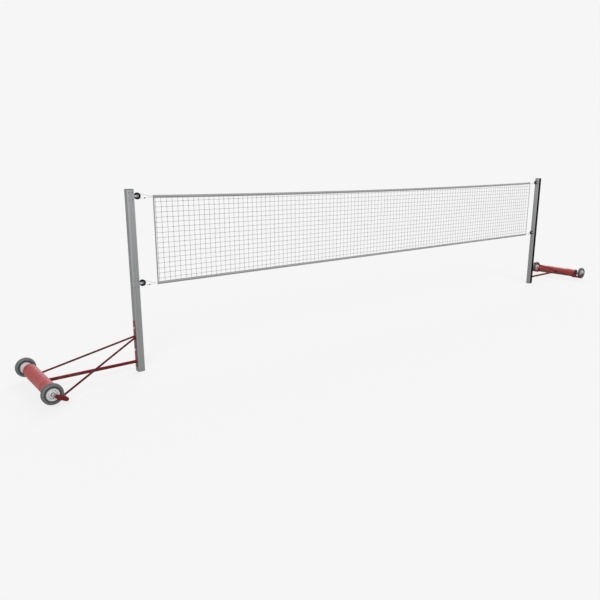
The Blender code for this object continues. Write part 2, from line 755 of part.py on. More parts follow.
def add_net_panel(net, finishes):
    """Add the netting as a thin open panel between the four tapes."""
    side = hem_end - SIDE_TAPE_WIDTH - GAP
    low = LOW_HEM_HEIGHT + TAPE_HEIGHT / 2 + GAP
    places = [-side] + [x for x in hem_stations("top") if abs(x) < side] + [side]
    outline = [(-side, low), (side, low)] + [(x, net_top(x)) for x in reversed(places)]
    front = -NET_THICKNESS / 2
    panel = swept(outline, front, front + NET_THICKNESS, "Y", holes=net_openings(side, low))
    add_piece("net_panel", panel, finishes["net"], net)

    for name, facing in (("side_tape_left", -1), ("side_tape_right", 1)):
        near = facing * (hem_end - SIDE_TAPE_WIDTH)
        far = facing * hem_end
        outline = [(near, low), (far, low), (far, net_top(far)), (near, net_top(near))]
        tape = swept(outline, -SIDE_TAPE_THICKNESS / 2, SIDE_TAPE_THICKNESS / 2, "Y")
        add_piece(name, tape, finishes["tape"], net)


def cord_end_route(level):
    """Return one end of a cord, from its tail round the pulley to the hem, as seen at the left."""
    centre = (-POST_SPACING / 2 + pulley_x, PULLEY_HEIGHTS[level])
    half_step = math.pi / SHEAVE_STEPS / 2
    radius = (GROOVE_RADIUS + cord_radius + CORD_CLEARANCE) / math.cos(half_step)
    entry = (-hem_end - CORD_ENTRY, hem_height(level, hem_end))
    over = tangent_angle(centre, radius, entry, 1)
    slope = (centre[1] + radius * math.sin(over) - entry[1]) / (centre[0] - entry[0])
    tail_x = -hem_end - TAIL_FROM_TAPE
    tail = (tail_x, entry[1] + slope * (tail_x - entry[0]) - TAIL_DROP)
    under = tangent_angle(centre, radius, tail, -1) + 2 * math.pi
    wrap = [under + (over - under) * step / SHEAVE_STEPS for step in range(SHEAVE_STEPS + 1)]
    around = [(centre[0] + radius * math.cos(a), centre[1] + radius * math.sin(a)) for a in wrap]
    return [tail] + around + [entry]


def tangent_angle(centre, radius, point, above):
    """Return where on a circle a straight line from the point touches it, above or below."""
    across = point[0] - centre[0]
    up = point[1] - centre[1]
    return math.atan2(up, across) + above * math.acos(radius / math.hypot(across, up))


def add_cord(net, finishes, level):
    """Add the cord that runs through a hem, over the pulley at each end and back to its tail."""
    left = cord_end_route(level)
    hem = [(x, hem_height(level, x)) for x in hem_stations(level)]
    right = [(-x, z) for x, z in reversed(left)]
    route = left + hem + right
    curve = bpy.data.curves.new(f"{level}_cord", "CURVE")
    curve.dimensions = "3D"
    curve.bevel_depth = cord_radius
    curve.bevel_resolution = CORD_BEVEL_RESOLUTION
    curve.use_fill_caps = True
    spline = curve.splines.new("POLY")
    spline.points.add(len(route) - 1)
    for point, (x, z) in zip(spline.points, route):
        point.co = (x, 0.0, z, 1.0)
    curve.materials.append(finishes["cord"])
    cord = bpy.data.objects.new(f"{level}_cord", curve)
    cord.parent = net
    bpy.context.scene.collection.objects.link(cord)


# Assembly

def add_unit(prefix, facing, finishes):
    """Add one post with its frame, drum, wheels and pulleys. Facing is 1 when it faces +X."""
    turn = 0.0 if facing > 0 else math.pi
    unit = add_empty(prefix + "_unit", (-facing * POST_SPACING / 2, 0.0, 0.0), turn)
    add_post(prefix, unit, finishes)
    add_post_ends(prefix, unit, finishes)
    add_back_plate(prefix, unit, finishes)
    add_main_tube(prefix, unit, finishes)
    add_drum(prefix, unit, finishes)
    for side in (-1, 1):
        end_name = "front" if side * facing < 0 else "rear"
        add_strut(prefix, unit, finishes, side, end_name)
        add_fork(prefix, unit, finishes, side, end_name)
        add_axle(prefix, unit, finishes, side, end_name)
        add_wheel(prefix, unit, finishes, side, end_name)
    for level in ("top", "low"):
        add_pulley(prefix, unit, finishes, level)


def add_net(finishes):
    """Add the netting, the tapes round it and the two cords."""
    net = add_empty("net", (0.0, 0.0, 0.0))
    add_net_panel(net, finishes)
    for level in ("top", "low"):
        add_tape(net, finishes, level)
        add_cord(net, finishes, level)


def main():
    for thing in list(bpy.data.objects):
        bpy.data.objects.remove(thing)
    finishes = make_finishes()
    add_unit("left", 1, finishes)
    add_unit("right", -1, finishes)
    add_net(finishes)


main()
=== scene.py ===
"""The looks of a portable sports net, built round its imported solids.

Every piece is drawn in metres in the frame of those solids: Z up, X along the net, the floor at zero
and the viewer on the side of negative Y. What belongs to one of the two wheeled units is drawn in
that unit's own frame, where x points to the net, and then set in place by the unit's matrix.
"""

import math
import random

import bmesh
import bpy
from mathutils import Matrix, Vector
from mathutils.geometry import convex_hull_2d


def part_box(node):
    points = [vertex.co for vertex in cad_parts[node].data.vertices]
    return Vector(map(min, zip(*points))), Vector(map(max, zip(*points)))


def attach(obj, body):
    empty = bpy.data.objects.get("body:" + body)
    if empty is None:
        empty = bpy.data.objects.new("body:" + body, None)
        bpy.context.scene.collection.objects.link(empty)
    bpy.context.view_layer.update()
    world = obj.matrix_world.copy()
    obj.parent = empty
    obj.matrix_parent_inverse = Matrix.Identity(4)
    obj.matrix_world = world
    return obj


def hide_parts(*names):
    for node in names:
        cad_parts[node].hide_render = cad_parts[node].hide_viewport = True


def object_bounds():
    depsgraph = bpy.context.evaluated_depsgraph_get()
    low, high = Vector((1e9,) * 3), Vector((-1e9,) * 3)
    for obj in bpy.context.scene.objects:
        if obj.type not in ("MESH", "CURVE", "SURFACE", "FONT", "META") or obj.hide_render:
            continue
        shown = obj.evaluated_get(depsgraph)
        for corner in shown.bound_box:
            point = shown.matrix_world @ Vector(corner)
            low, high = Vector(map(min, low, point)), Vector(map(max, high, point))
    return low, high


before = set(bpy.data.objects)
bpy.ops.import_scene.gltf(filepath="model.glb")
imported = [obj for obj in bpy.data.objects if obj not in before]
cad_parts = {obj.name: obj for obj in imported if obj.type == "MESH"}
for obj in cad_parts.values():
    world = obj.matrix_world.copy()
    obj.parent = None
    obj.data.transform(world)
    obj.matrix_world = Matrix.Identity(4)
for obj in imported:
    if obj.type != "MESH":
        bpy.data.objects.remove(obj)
cad_low, cad_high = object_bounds()

LEVELS = ("top", "low")
ROOT_BODY = "posts_and_net"

# Camera

CAMERA_PLACE = (-4.9886, -4.6170, 1.7399)
CAMERA_PITCH = 0.22777          # how far it looks down, in radians
CAMERA_TURN = 0.67098           # how far it looks to the right of +Y
CAMERA_LENS = 35.0
CAMERA_SENSOR = 36.0

# Sizes of the solids that their boxes don't give

END_PLUG = 0.022                # how far a post's cap and foot reach into it
POST_CORNER = 0.005
STRIP_RECESS = 0.0016
STRUT_TOP = 0.3105
STRUT_TOP_SPREAD = 0.0330
STRUT_FROM_GUSSET = 0.0100
STRUT_AIM_DROP = 0.0058
AXLE_RADIUS = 0.006
GUSSET_THICKNESS = 0.006
GUSSET_AXLE_RADIUS = 0.020
GUSSET_DRUM_RADIUS = 0.014
GUSSET_TUBE_INSET = 0.001
CROSS_TUBE_TOWARD_POST = 0.0880
CROSS_TUBE_HEIGHT = 0.0605
CROSS_TUBE_BORE = 0.011
CROSS_TUBE_BORE_DEPTH = 0.060
CROSS_TUBE_INSIDE = 0.013
CROSS_TUBE_PROUD = 0.002
LEG_THICKNESS = 0.008
LEG_WAIST_RADIUS = 0.019
LEG_TUBE_RADIUS = 0.0160
RIM_WEB = 0.028
HUB_RADIUS = 0.0125
GROOVE_RADIUS = 0.020
PIN_RADIUS = 0.004
PIN_HEAD_RADIUS = 0.0065
CHEEK_THICKNESS = 0.0025
CHEEK_CLEARANCE = 0.0008
CHEEK_EYE_RADIUS = 0.0098
CHEEK_ROOT = 0.015
BRACKET_THICKNESS = 0.003
BRACKET_WIDTH = 0.025
BRACKET_HEIGHT = 0.060
CORD_RADIUS = 0.0025
CORD_CLEARANCE = 0.0004
TOP_HEM_SAG = 0.0235
TAPE_HEIGHT = 0.025

# Sizes that differ a little from the solids', to look as the real ones do

STRUT_RADIUS = 0.0081
LEG_AXLE_RADIUS = 0.0082
STRIP_LAP = 0.002               # how far each edge of the strip reaches past its solid

# Places read from the solids, in each unit's own frame


def unit_box(node):
    """Return the box of a left unit's node in the unit's own frame."""
    low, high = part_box("left_" + node)
    return low - unit_origin, high - unit_origin


post_world_low, post_world_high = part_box("left_post")
post_spacing = -(post_world_low.x + post_world_high.x)
unit_origin = Vector((-post_spacing / 2, 0.0, 0.0))
UNITS = {
    "left": Matrix.Translation(unit_origin),
    "right": Matrix.Translation(-unit_origin) @ Matrix.Rotation(math.pi, 4, "Z"),
}
UNIT_SIDES = {"left": {-1: "front", 1: "rear"}, "right": {-1: "rear", 1: "front"}}

post_low, post_high = unit_box("post")
cap_high = unit_box("post_cap")[1]
foot_low, foot_high = unit_box("post_foot")
strip_low, strip_high = unit_box("side_strip")
plate_low, plate_high = unit_box("back_plate")
tube_low, tube_high = unit_box("main_tube")
drum_low, drum_high = unit_box("drum_shell")
fork_low = unit_box("wheel_fork_front")[0]
axle_low, axle_high = unit_box("axle_front")
nut_low, nut_high = unit_box("axle_nut_front")
tyre_low, tyre_high = unit_box("tyre_front")
rim_low, rim_high = unit_box("rim_front")
pulley_boxes = {level: unit_box("pulley_" + level) for level in LEVELS}

gap = post_low.z - (foot_high.z - END_PLUG)
post_half = post_high.x
plate_face = plate_low.x
tube_radius = (tube_high.y - tube_low.y) / 2
tube_height = (tube_high.z + tube_low.z) / 2
drum_centre = (drum_low + drum_high) / 2
drum_radius = (drum_high.z - drum_low.z) / 2
drum_end = drum_high.y
axle_centre = (tyre_low + tyre_high) / 2
axle_line = Vector((axle_centre.x, 0.0, axle_centre.z))
wheel_middle = -axle_centre.y
wheel_radius = (tyre_high.z - tyre_low.z) / 2
wheel_half = (tyre_high.y - tyre_low.y) / 2
rim_radius = (rim_high.z - rim_low.z) / 2
hub_end = -rim_low.y
collar_radius = (axle_high.z - axle_low.z) / 2
nut_radius = (nut_high.z - nut_low.z) / 2
nut_face = -nut_high.y
nut_tip = -nut_low.y
gusset_inner = -axle_high.y
gusset_outer = gusset_inner + GUSSET_THICKNESS
mouth = -fork_low.y
leg_outer = mouth - CROSS_TUBE_PROUD
leg_inner = leg_outer - LEG_THICKNESS
cross_tube = Vector((axle_centre.x + CROSS_TUBE_TOWARD_POST, 0.0, CROSS_TUBE_HEIGHT))
pulley_centres = {level: (low + high) / 2 for level, (low, high) in pulley_boxes.items()}
pulley_radius = (pulley_boxes["top"][1].z - pulley_boxes["top"][0].z) / 2
pulley_half = pulley_boxes["top"][1].y
pin_reach = unit_box("pulley_pin_top")[1].y
cord_wrap_radius = GROOVE_RADIUS + CORD_RADIUS + CORD_CLEARANCE

tape_tops = {level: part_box(level + "_tape")[1] for level in LEVELS}
hem_end = tape_tops["top"].x
hem_heights = {level: tape_tops[level].z - TAPE_HEIGHT / 2 for level in LEVELS}
hem_sags = {"top": TOP_HEM_SAG, "low": 0.0}
side_tape_low, side_tape_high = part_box("side_tape_left")
side_tape_width = side_tape_high.x - side_tape_low.x

# Shapes

MERGE_DISTANCE = 0.00002
SHARP_ANGLE = math.radians(38)
FILLET_LIMIT = 0.45             # the largest share of an edge that a rounded corner takes up
AXES = {"X": Vector((1, 0, 0)), "Y": Vector((0, 1, 0)), "Z": Vector((0, 0, 1))}
WELD_RADIUS = 0.0022
FINE_WELD_RADIUS = 0.0017
WELD_PITCH = 0.0032
WELD_POINTS = 56


class Shape:
    """Points and faces that become one mesh."""

    def __init__(self):
        self.points = []
        self.faces = []

    def grid(self, rows, loop=False, capped=False):
        """Skin over rows of points, each a closed ring. A loop joins the last row to the first."""
        first = len(self.points)
        width = len(rows[0])
        for row in rows:
            self.points += [tuple(point) for point in row]
        for index in range(len(rows) if loop else len(rows) - 1):
            near = first + index * width
            far = first + (index + 1) % len(rows) * width
            for step in range(width):
                following = (step + 1) % width
                self.faces.append((near + step, near + following, far + following, far + step))
        if capped:
            last = first + (len(rows) - 1) * width
            self.faces.append(tuple(range(first, first + width)))
            self.faces.append(tuple(range(last, last + width)))

    def piece(self, name, look, body=ROOT_BODY, slot=None, replaces=(), matrix=None, origin=None):
        """Turn the shape into an object that rides on a body and wears a finish."""
        work = bmesh.new()
        corners = [work.verts.new(point) for point in self.points]
        for face in self.faces:
            work.faces.new([corners[index] for index in face])
        bmesh.ops.remove_doubles(work, verts=work.verts[:], dist=MERGE_DISTANCE)
        bmesh.ops.recalc_face_normals(work, faces=work.faces[:])
        if matrix is not None:
            work.transform(matrix)
        if origin is not None:
            work.transform(Matrix.Translation(-origin))
        mesh = bpy.data.meshes.new(name)
        work.to_mesh(mesh)
        work.free()
        mesh.shade_smooth()
        mesh.set_sharp_from_angle(angle=SHARP_ANGLE)
        mesh.materials.append(LOOKS[look])
        thing = bpy.data.objects.new(name, mesh)
        bpy.context.scene.collection.objects.link(thing)
        if origin is not None:
            thing.location = origin
        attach(thing, body)
        if replaces:
            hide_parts(*replaces)
        return thing

    def unit_piece(self, prefix, name, look, node=None, **options):
        """Turn a shape drawn in a unit's frame into that unit's piece, in the place of a node."""
        nodes = [f"{prefix}_{node}"] if node else ()
        return self.piece(f"{prefix}_{name}", look, replaces=nodes, matrix=UNITS[prefix], **options)


def circle(centre, radius, sides):
    """Return points round a circle in a plane."""
    angles = [2 * math.pi * step / sides for step in range(sides)]
    return [(centre[0] + radius * math.cos(a), centre[1] + radius * math.sin(a)) for a in angles]


def ring(centre, radius, axis, sides=WELD_POINTS):
    """Return points round a circle across the X or the Y axis."""
    across = AXES["Z"]
    other = AXES[axis].cross(across)
    return [Vector(centre) + across * u + other * v for u, v in circle((0, 0), radius, sides)]


def rectangle(half_width, low, high):
    """Return the corners of a rectangle that is as wide to both sides of zero."""
    return [(-half_width, low), (half_width, low), (half_width, high), (-half_width, high)]


def mirrored(half, middle=()):
    """Return half a profile of (radius, distance) points, what lies in its middle, and its mirror image."""
    return [*half, *middle, *[(radius, -distance) for radius, distance in reversed(half)]]


def filleted(corners, radius, steps=3, closed=False):
    """Round the corners of a flat line, each with a curve that starts a radius away from it."""
    result = []
    count = len(corners)
    for index, corner in enumerate(corners):
        here = Vector(corner)
        if not closed and index in (0, count - 1):
            result.append(tuple(here))
            continue
        before = Vector(corners[index - 1])
        after = Vector(corners[(index + 1) % count])
        start = here.lerp(before, min(radius / (before - here).length, FILLET_LIMIT))
        end = here.lerp(after, min(radius / (after - here).length, FILLET_LIMIT))
        for step in range(steps + 1):
            share = step / steps
            result.append(tuple(start.lerp(here, share).lerp(here.lerp(end, share), share)))
    return result


def inset(outline, distance):
    """Move a closed outline inward by a distance."""
    count = len(outline)
    area = sum(
        outline[i - 1][0] * outline[i][1] - outline[i][0] * outline[i - 1][1] for i in range(count)
    )
    inward = 1 if area > 0 else -1
    moved = []
    for index in range(count):
        here = Vector(outline[index])
        before = (here - Vector(outline[index - 1])).normalized()
        after = (Vector(outline[(index + 1) % count]) - here).normalized()
        normals = [Vector((-side.y, side.x)) * inward for side in (before, after)]
        across = (normals[0] + normals[1]).normalized()
        moved.append(tuple(here + across * distance / max(across.dot(normals[0]), 0.5)))
    return moved


def slab(shape, outline, start, end, along, edge=0.0005):
    """Add a plate of an outline that runs from start to end along an axis, with round edges."""
    order = {"X": (2, 0, 1), "Y": (0, 2, 1), "Z": (0, 1, 2)}[along]
    direction = 1 if end > start else -1
    quarter = [math.pi / 2 * step / 3 for step in range(4)]
    stations = [(edge * (1 - math.sin(a)), start + direction * edge * (1 - math.cos(a))) for a in quarter]
    stations += [(distance, end - (level - start)) for distance, level in reversed(stations)]
    rows = []
    for distance, level in stations:
        line = inset(outline, distance) if distance > 1e-7 else outline
        rows.append([[(u, v, level)[index] for index in order] for u, v in line])
    shape.grid(rows, capped=True)


def turned(shape, profile, centre, axis="Y", sides=48, facing=1):
    """Spin a profile of (radius, distance) points about an axis through the centre."""
    along = AXES[axis] * facing
    shape.grid([ring(Vector(centre) + along * distance, radius, axis, sides) for radius, distance in profile])


def tube(shape, path, radii, sides=24, closed=False):
    """Add a tube along a path of points, with one radius or with one for each point."""
    path = [Vector(point) for point in path]
    count = len(path)
    if not hasattr(radii, "__len__"):
        radii = [radii] * count
    rows = []
    normal = None
    for index, point in enumerate(path):
        if closed:
            heading = path[(index + 1) % count] - path[index - 1]
        else:
            heading = path[min(index + 1, count - 1)] - path[max(index - 1, 0)]
        heading.normalize()
        if normal is None:
            normal = heading.orthogonal().normalized()
        normal = (normal - heading * normal.dot(heading)).normalized()
        side = heading.cross(normal)
        rows.append([point + normal * u + side * v for u, v in circle((0, 0), radii[index], sides)])
    shape.grid(rows, loop=closed, capped=not closed)


def weld_bead(shape, path, radius=WELD_RADIUS, pitch=WELD_PITCH, closed=True):
    """Add a weld along a path of closely spaced points, with the ripples that a weld leaves."""
    path = [Vector(point) for point in path]
    travelled = 0.0
    radii = []
    for index, point in enumerate(path):
        if index:
            travelled += (point - path[index - 1]).length
        ripple = math.sin(2 * math.pi * travelled / pitch)
        radii.append(radius * (1 + 0.16 * ripple + random.uniform(-0.05, 0.05)))
    tube(shape, path, radii, sides=8, closed=closed)


def hull_outline(circles, corners=(), sides=56):
    """Return the outline of corners and circles joined by straight edges."""
    points = list(corners)
    for x, z, radius in circles:
        points += circle((x, z), radius, sides)
    return [points[index] for index in convex_hull_2d(points)]


def bolt(shape, place, axis, facing, radius, head, washer=0.0, dome=False):
    """Add a bolt's head: an optional washer, a hexagon, and an optional dome like a cap nut's."""
    if washer:
        flange = radius * 1.75
        profile = filleted([(0, 0), (flange, 0), (flange, washer), (0, washer)], 0.0003)
        turned(shape, profile, place, axis, 32, facing)
    top = washer + head
    hexagon = [(0, washer), (radius, washer), (radius, top - head * 0.16), (radius * 0.9, top), (0, top)]
    turned(shape, hexagon, place, axis, 6, facing)
    if dome:
        ball = radius * 0.82
        arc = [math.pi / 2 * step / 8 for step in range(9)]
        rise = [(ball * math.cos(a), top + ball * math.sin(a)) for a in arc]
        root = top - head * 0.5
        turned(shape, [(0, root), (ball, root), *rise], place, axis, 32, facing)


def round_screw(shape, place, axis, facing, radius, height):
    """Add a low round screw head with a round socket."""
    socket = radius * 0.42
    floor = height * 0.35
    profile = [(0, 0), (radius, 0), (radius, height * 0.4), (radius * 0.86, height * 0.8),
               (radius * 0.6, height), (socket, height), (socket, floor), (0, floor)]
    turned(shape, profile, place, axis, 18, facing)


# Finishes

DUST = (0.36, 0.22, 0.20, 1.0)
MUD = (0.10, 0.07, 0.055, 1.0)
GRIME = (0.30, 0.29, 0.28, 1.0)
RUST = (0.11, 0.045, 0.02, 1.0)
CHIPPED_STEEL = (0.045, 0.030, 0.030, 1.0)
ALONG_TUBES = (0.22, 0.9, 0.6)  # stretches scuffs along the frame's tubes


def linear(channel):
    """Turn a display value from 0 to 255 into the linear value that a shader takes."""
    value = channel / 255
    if value <= 0.04045:
        return value / 12.92
    return ((value + 0.055) / 1.055) ** 2.4


class Finish:
    """A material whose nodes work from its object's own coordinates in metres."""

    def __init__(self, name, colour, roughness, metallic=0.0, **sockets):
        self.material = bpy.data.materials.new("look_" + name)
        self.material.use_nodes = True
        self.tree = self.material.node_tree
        self.shader = self.tree.nodes["Principled BSDF"]
        self.base = (*(linear(channel) for channel in colour), 1.0)
        self.relief = None
        sockets |= {"Base Color": self.base, "Roughness": roughness, "Metallic": metallic}
        for socket, value in sockets.items():
            self.shader.inputs[socket.replace("_", " ")].default_value = value
        self.place = self.node("ShaderNodeTexCoord").outputs["Object"]

    def node(self, kind, inputs=None, **settings):
        """Add a node, set its settings, and give each input a value or a link."""
        added = self.tree.nodes.new(kind)
        for name, value in settings.items():
            setattr(added, name, value)
        for name, value in (inputs or {}).items():
            if isinstance(value, bpy.types.NodeSocket):
                self.tree.links.new(value, added.inputs[name])
            else:
                added.inputs[name].default_value = value
        return added

    def vector(self, operation, *inputs):
        """Return a vector sum's node."""
        return self.node("ShaderNodeVectorMath", dict(enumerate(inputs)), operation=operation)

    def sum(self, operation, first, second=0.0):
        """Return the result of a sum on one or two values."""
        return self.node("ShaderNodeMath", {0: first, 1: second}, operation=operation).outputs[0]

    def part(self, axis):
        """Return one coordinate."""
        return self.node("ShaderNodeSeparateXYZ", {0: self.place}).outputs[axis]

    def noise(self, scale, detail=3.0, stretch=None, distortion=0.0):
        """Return a noise value from 0 to 1, its coordinates multiplied by a stretch if there is one."""
        place = self.vector("MULTIPLY", self.place, stretch).outputs[0] if stretch else self.place
        inputs = {"Vector": place, "Scale": scale, "Detail": detail, "Distortion": distortion}
        return self.node("ShaderNodeTexNoise", inputs).outputs["Fac"]

    def ridges(self, pitch, direction):
        """Return a wave from -1 to 1 across the direction given, one ridge for each pitch."""
        along = self.vector("DOT_PRODUCT", self.place, direction).outputs["Value"]
        return self.sum("SINE", self.sum("MULTIPLY", along, 2 * math.pi / pitch))

    def between(self, value, low=0.3, high=0.7, to_low=0.0, to_high=1.0):
        """Return a value's place between two levels, held at the ends."""
        inputs = {"Value": value, 1: low, 2: high, 3: to_low, 4: to_high}
        return self.node("ShaderNodeMapRange", inputs).outputs["Result"]

    def toned(self, share):
        """Return the base colour times a share."""
        return (*(channel * share for channel in self.base[:3]), 1.0)

    def blend(self, share, first, second):
        """Paint the surface with a blend of two colours."""
        mixer = self.node("ShaderNodeMix", {"Factor": share, 6: first, 7: second}, data_type="RGBA")
        self.paint = mixer.outputs[2]
        self.tree.links.new(self.paint, self.shader.inputs["Base Color"])

    def mottle(self, share, dark, light):
        """Paint the surface with the base colour, from a darker to a lighter tone as a share rises."""
        self.blend(share, self.toned(dark), self.toned(light))

    def cover(self, share, colour):
        """Lay a share of a colour, or of a tone of the base colour, over the paint so far."""
        self.blend(share, self.paint, self.toned(colour) if isinstance(colour, float) else colour)

    def roughness(self, value, low, high):
        """Let a value from 0 to 1 set the roughness between two levels."""
        self.tree.links.new(self.between(value, 0.25, 0.75, low, high), self.shader.inputs["Roughness"])

    def bump(self, height, depth):
        """Add relief of a depth in metres to the surface, on top of any before it."""
        inputs = {"Height": height, "Strength": 1.0, "Distance": depth}
        if self.relief is not None:
            inputs["Normal"] = self.relief
        self.relief = self.node("ShaderNodeBump", inputs).outputs["Normal"]
        self.tree.links.new(self.relief, self.shader.inputs["Normal"])


def post_finish():
    """Satin extruded aluminium with lines along it: painted shade low down and on the outer face, mud low on
    that face, and a painted highlight along one corner.
    """
    look = Finish("post_grey", (152, 153, 154), 0.42, 0.25)
    lines = look.noise(420.0, 2.0, (1.0, 1.0, 0.006))
    broad = look.noise(150.0, 2.0, (1.0, 1.0, 0.004))
    patches = look.noise(7.0, 4.0)
    height = look.part("Z")
    look.mottle(look.between(lines), 0.88, 1.10)
    look.cover(look.between(broad, 0.40, 0.62, 0.0, 0.8), 1.16)
    # Painted shade: the post darker towards the bottom, as if lit from above.
    look.cover(look.between(height, 0.0, cad_high.z, 0.36, 0.0), 0.45)
    outer_face = post_spacing / 2 + post_half
    outward = look.sum("ABSOLUTE", look.part("X"))
    # Painted shade: the outer face, away from the net, made darker.
    outer = look.between(outward, outer_face - 0.0016, outer_face - 0.0004, 0.0, 0.85)
    look.cover(outer, 0.58)
    # How far a point lies from its post's side of low X, with a metre added to keep clear of the wrap
    offset = look.sum("MODULO", look.sum("ADD", look.part("X"), outer_face + 1.0), post_spacing)
    depth = look.sum("ADD", look.part("Y"), post_half)
    beside = look.sum("ADD", look.sum("SUBTRACT", offset, 1.0), depth)
    # Painted highlight: a lighter band along the corner between the low X and low Y faces, stronger higher
    # up.
    painted_corner_highlight = look.between(beside, 0.0105, 0.0125, 1.0, 0.0)
    look.cover(look.sum("MULTIPLY", painted_corner_highlight, look.between(height, 0.2, 1.3, 0.10, 0.62)), 1.22)
    low = look.sum("MULTIPLY", outer, look.between(height, 0.05, 0.17, 0.55, 0.0))
    look.cover(look.sum("MULTIPLY", low, look.between(patches, 0.3, 0.6, 0.6, 1.0)), MUD)
    look.roughness(patches, 0.36, 0.52)
    look.bump(lines, 0.00006)
    look.bump(look.noise(900.0, 2.0), 0.00002)
    return look.material


def paint_finish(name, colour, roughness, gloss, chips, streaks=(1.0, 0.25, 1.0), drum_shade=False):
    """Sprayed paint over steel: dust, scuffs and chips, and on the drum painted shade under it and at its
    ends.
    """
    look = Finish(name, colour, roughness, Specular_IOR_Level=gloss)
    clouds = look.noise(14.0, 5.0)
    speck = look.noise(260.0, 3.0)
    scuffs = look.noise(60.0, 4.0, streaks, 0.6)
    height = look.part("Z")
    look.mottle(look.between(clouds), 0.90, 1.08)
    look.cover(look.between(scuffs, 0.52, 0.74, 0.0, 0.18), DUST)
    look.cover(look.between(height, 0.04, 0.11, 0.060, 0.0), DUST)
    # Painted shade on the drum: a dark band by each rolled end, and its underside darker.
    if drum_shade:
        along = look.sum("ABSOLUTE", look.part("Y"))
        look.cover(look.between(along, drum_end - 0.015, drum_end - 0.011, 0.0, 0.80), 0.22)
        look.cover(look.between(height, drum_low.z + 0.022, drum_low.z + 0.044, 0.90, 0.0), 0.12)
    chipped = look.sum("MULTIPLY", speck, look.between(clouds, 0.35, 0.7))
    chipped = look.between(chipped, chips, chips + 0.05)
    look.cover(chipped, CHIPPED_STEEL)
    look.roughness(scuffs, roughness - 0.05, roughness + 0.16)
    look.bump(look.noise(520.0, 2.0), 0.00005)
    look.bump(look.between(chipped, 0.0, 1.0, 1.0, 0.0), 0.00012)
    return look.material


def plastic_finish(name, colour, roughness, grain):
    """Moulded plastic with a fine grain, rubbed lighter here and there."""
    look = Finish(name, colour, roughness, Specular_IOR_Level=0.2)
    fine = look.noise(grain, 3.0)
    look.mottle(look.between(look.noise(30.0, 4.0)), 0.88, 1.12)
    look.cover(look.between(look.noise(90.0, 5.0), 0.62, 0.80, 0.0, 0.35), 1.5)
    look.roughness(fine, roughness - 0.07, roughness + 0.10)
    look.bump(fine, 0.00006)
    return look.material


def rim_finish():
    """Pale nylon, dusty and mottled."""
    look = Finish("rim_white", (206, 205, 205), 0.5, Specular_IOR_Level=0.3)
    clouds = look.noise(55.0, 5.0)
    look.mottle(look.between(clouds), 0.90, 1.04)
    look.cover(look.between(look.noise(24.0, 5.0, distortion=0.4), 0.55, 0.78, 0.0, 0.30), GRIME)
    look.roughness(clouds, 0.42, 0.62)
    look.bump(look.noise(700.0, 2.0), 0.00004)
    return look.material


def tyre_finish():
    """Grey solid rubber with dark specks, and painted shade next to the rim and on the tread's edge."""
    look = Finish("tyre_rubber", (108, 109, 110), 0.82, Specular_IOR_Level=0.2)
    across = look.vector("MULTIPLY", look.place, (1.0, 0.0, 1.0)).outputs[0]
    radius = look.vector("LENGTH", across).outputs["Value"]
    clouds = look.noise(40.0, 4.0)
    look.mottle(look.between(clouds), 0.86, 1.12)
    look.cover(look.between(look.noise(420.0, 4.0), 0.58, 0.75, 0.0, 0.5), 0.6)
    # Painted shade: the ring of the tyre next to the rim made darker.
    look.cover(look.between(radius, rim_radius + 0.0110, rim_radius + 0.0145, 0.80, 0.0), 0.27)
    # Painted shade: the tread and its shoulders darker towards the outer edge.
    look.cover(look.between(radius, wheel_radius - 0.0060, wheel_radius - 0.0025, 0.0, 0.32), 0.25)
    look.roughness(clouds, 0.74, 0.9)
    look.bump(look.noise(600.0, 3.0), 0.00015)
    return look.material


def steel_finish(name, colour, roughness):
    """Plated steel: faint brushing, water marks and a slightly uneven shine."""
    look = Finish(name, colour, roughness, 0.75)
    brushed = look.noise(500.0, 2.0, (1.0, 0.08, 1.0))
    marks = look.noise(80.0, 5.0, distortion=0.5)
    look.mottle(look.between(brushed), 0.86, 1.08)
    look.cover(look.between(marks, 0.55, 0.75, 0.0, 0.4), 0.55)
    look.roughness(marks, roughness - 0.05, roughness + 0.14)
    look.bump(brushed, 0.00002)
    return look.material


def iron_finish():
    """Raw cast iron, pitted and faintly rusty."""
    look = Finish("core_iron", (70, 68, 66), 0.8, 0.6)
    pits = look.noise(180.0, 5.0)
    look.mottle(look.between(pits), 0.75, 1.15)
    look.cover(look.between(look.noise(22.0, 5.0), 0.5, 0.72), RUST)
    look.roughness(pits, 0.68, 0.92)
    look.bump(pits, 0.0003)
    return look.material


def tape_finish():
    """Woven webbing: crossing yarns, a faint twill and a little grime."""
    look = Finish("tape_grey", (160, 160, 160), 0.9, Sheen_Weight=0.25, Sheen_Roughness=0.5)
    warp = look.ridges(0.0013, (1.0, 0.0, 0.0))
    weft = look.ridges(0.0010, (0.0, 0.0, 1.0))
    twill = look.ridges(0.0024, (1.0, 0.0, 1.0))
    weave = look.sum("ADD", look.sum("MULTIPLY", warp, weft), look.sum("MULTIPLY", twill, 0.5))
    yarn = look.between(weave, -1.2, 1.2)
    clouds = look.noise(5.0, 5.0)
    look.mottle(yarn, 0.82, 1.12)
    look.cover(look.between(clouds, 0.42, 0.70, 0.0, 0.22), 0.66)
    look.cover(look.between(look.noise(900.0, 2.0, (1.0, 1.0, 0.3)), 0.55, 0.7, 0.0, 0.25), 1.25)
    look.roughness(clouds, 0.84, 0.95)
    look.bump(yarn, 0.00025)
    return look.material


def twisted_finish(name, colour, pitch):
    """Twisted or braided yarn: slanting strands, a little soiled."""
    look = Finish(name, colour, 0.88, Sheen_Weight=0.2)
    one = look.ridges(pitch, (1.0, 0.4, 1.0))
    other = look.ridges(pitch, (1.0, -0.4, -1.0))
    strands = look.between(look.sum("MULTIPLY", one, other), -1.0, 1.0)
    clouds = look.noise(6.0, 4.0)
    look.mottle(strands, 0.78, 1.12)
    look.cover(look.between(clouds, 0.45, 0.7, 0.0, 0.25), 0.7)
    look.roughness(clouds, 0.82, 0.95)
    look.bump(strands, 0.0003)
    return look.material


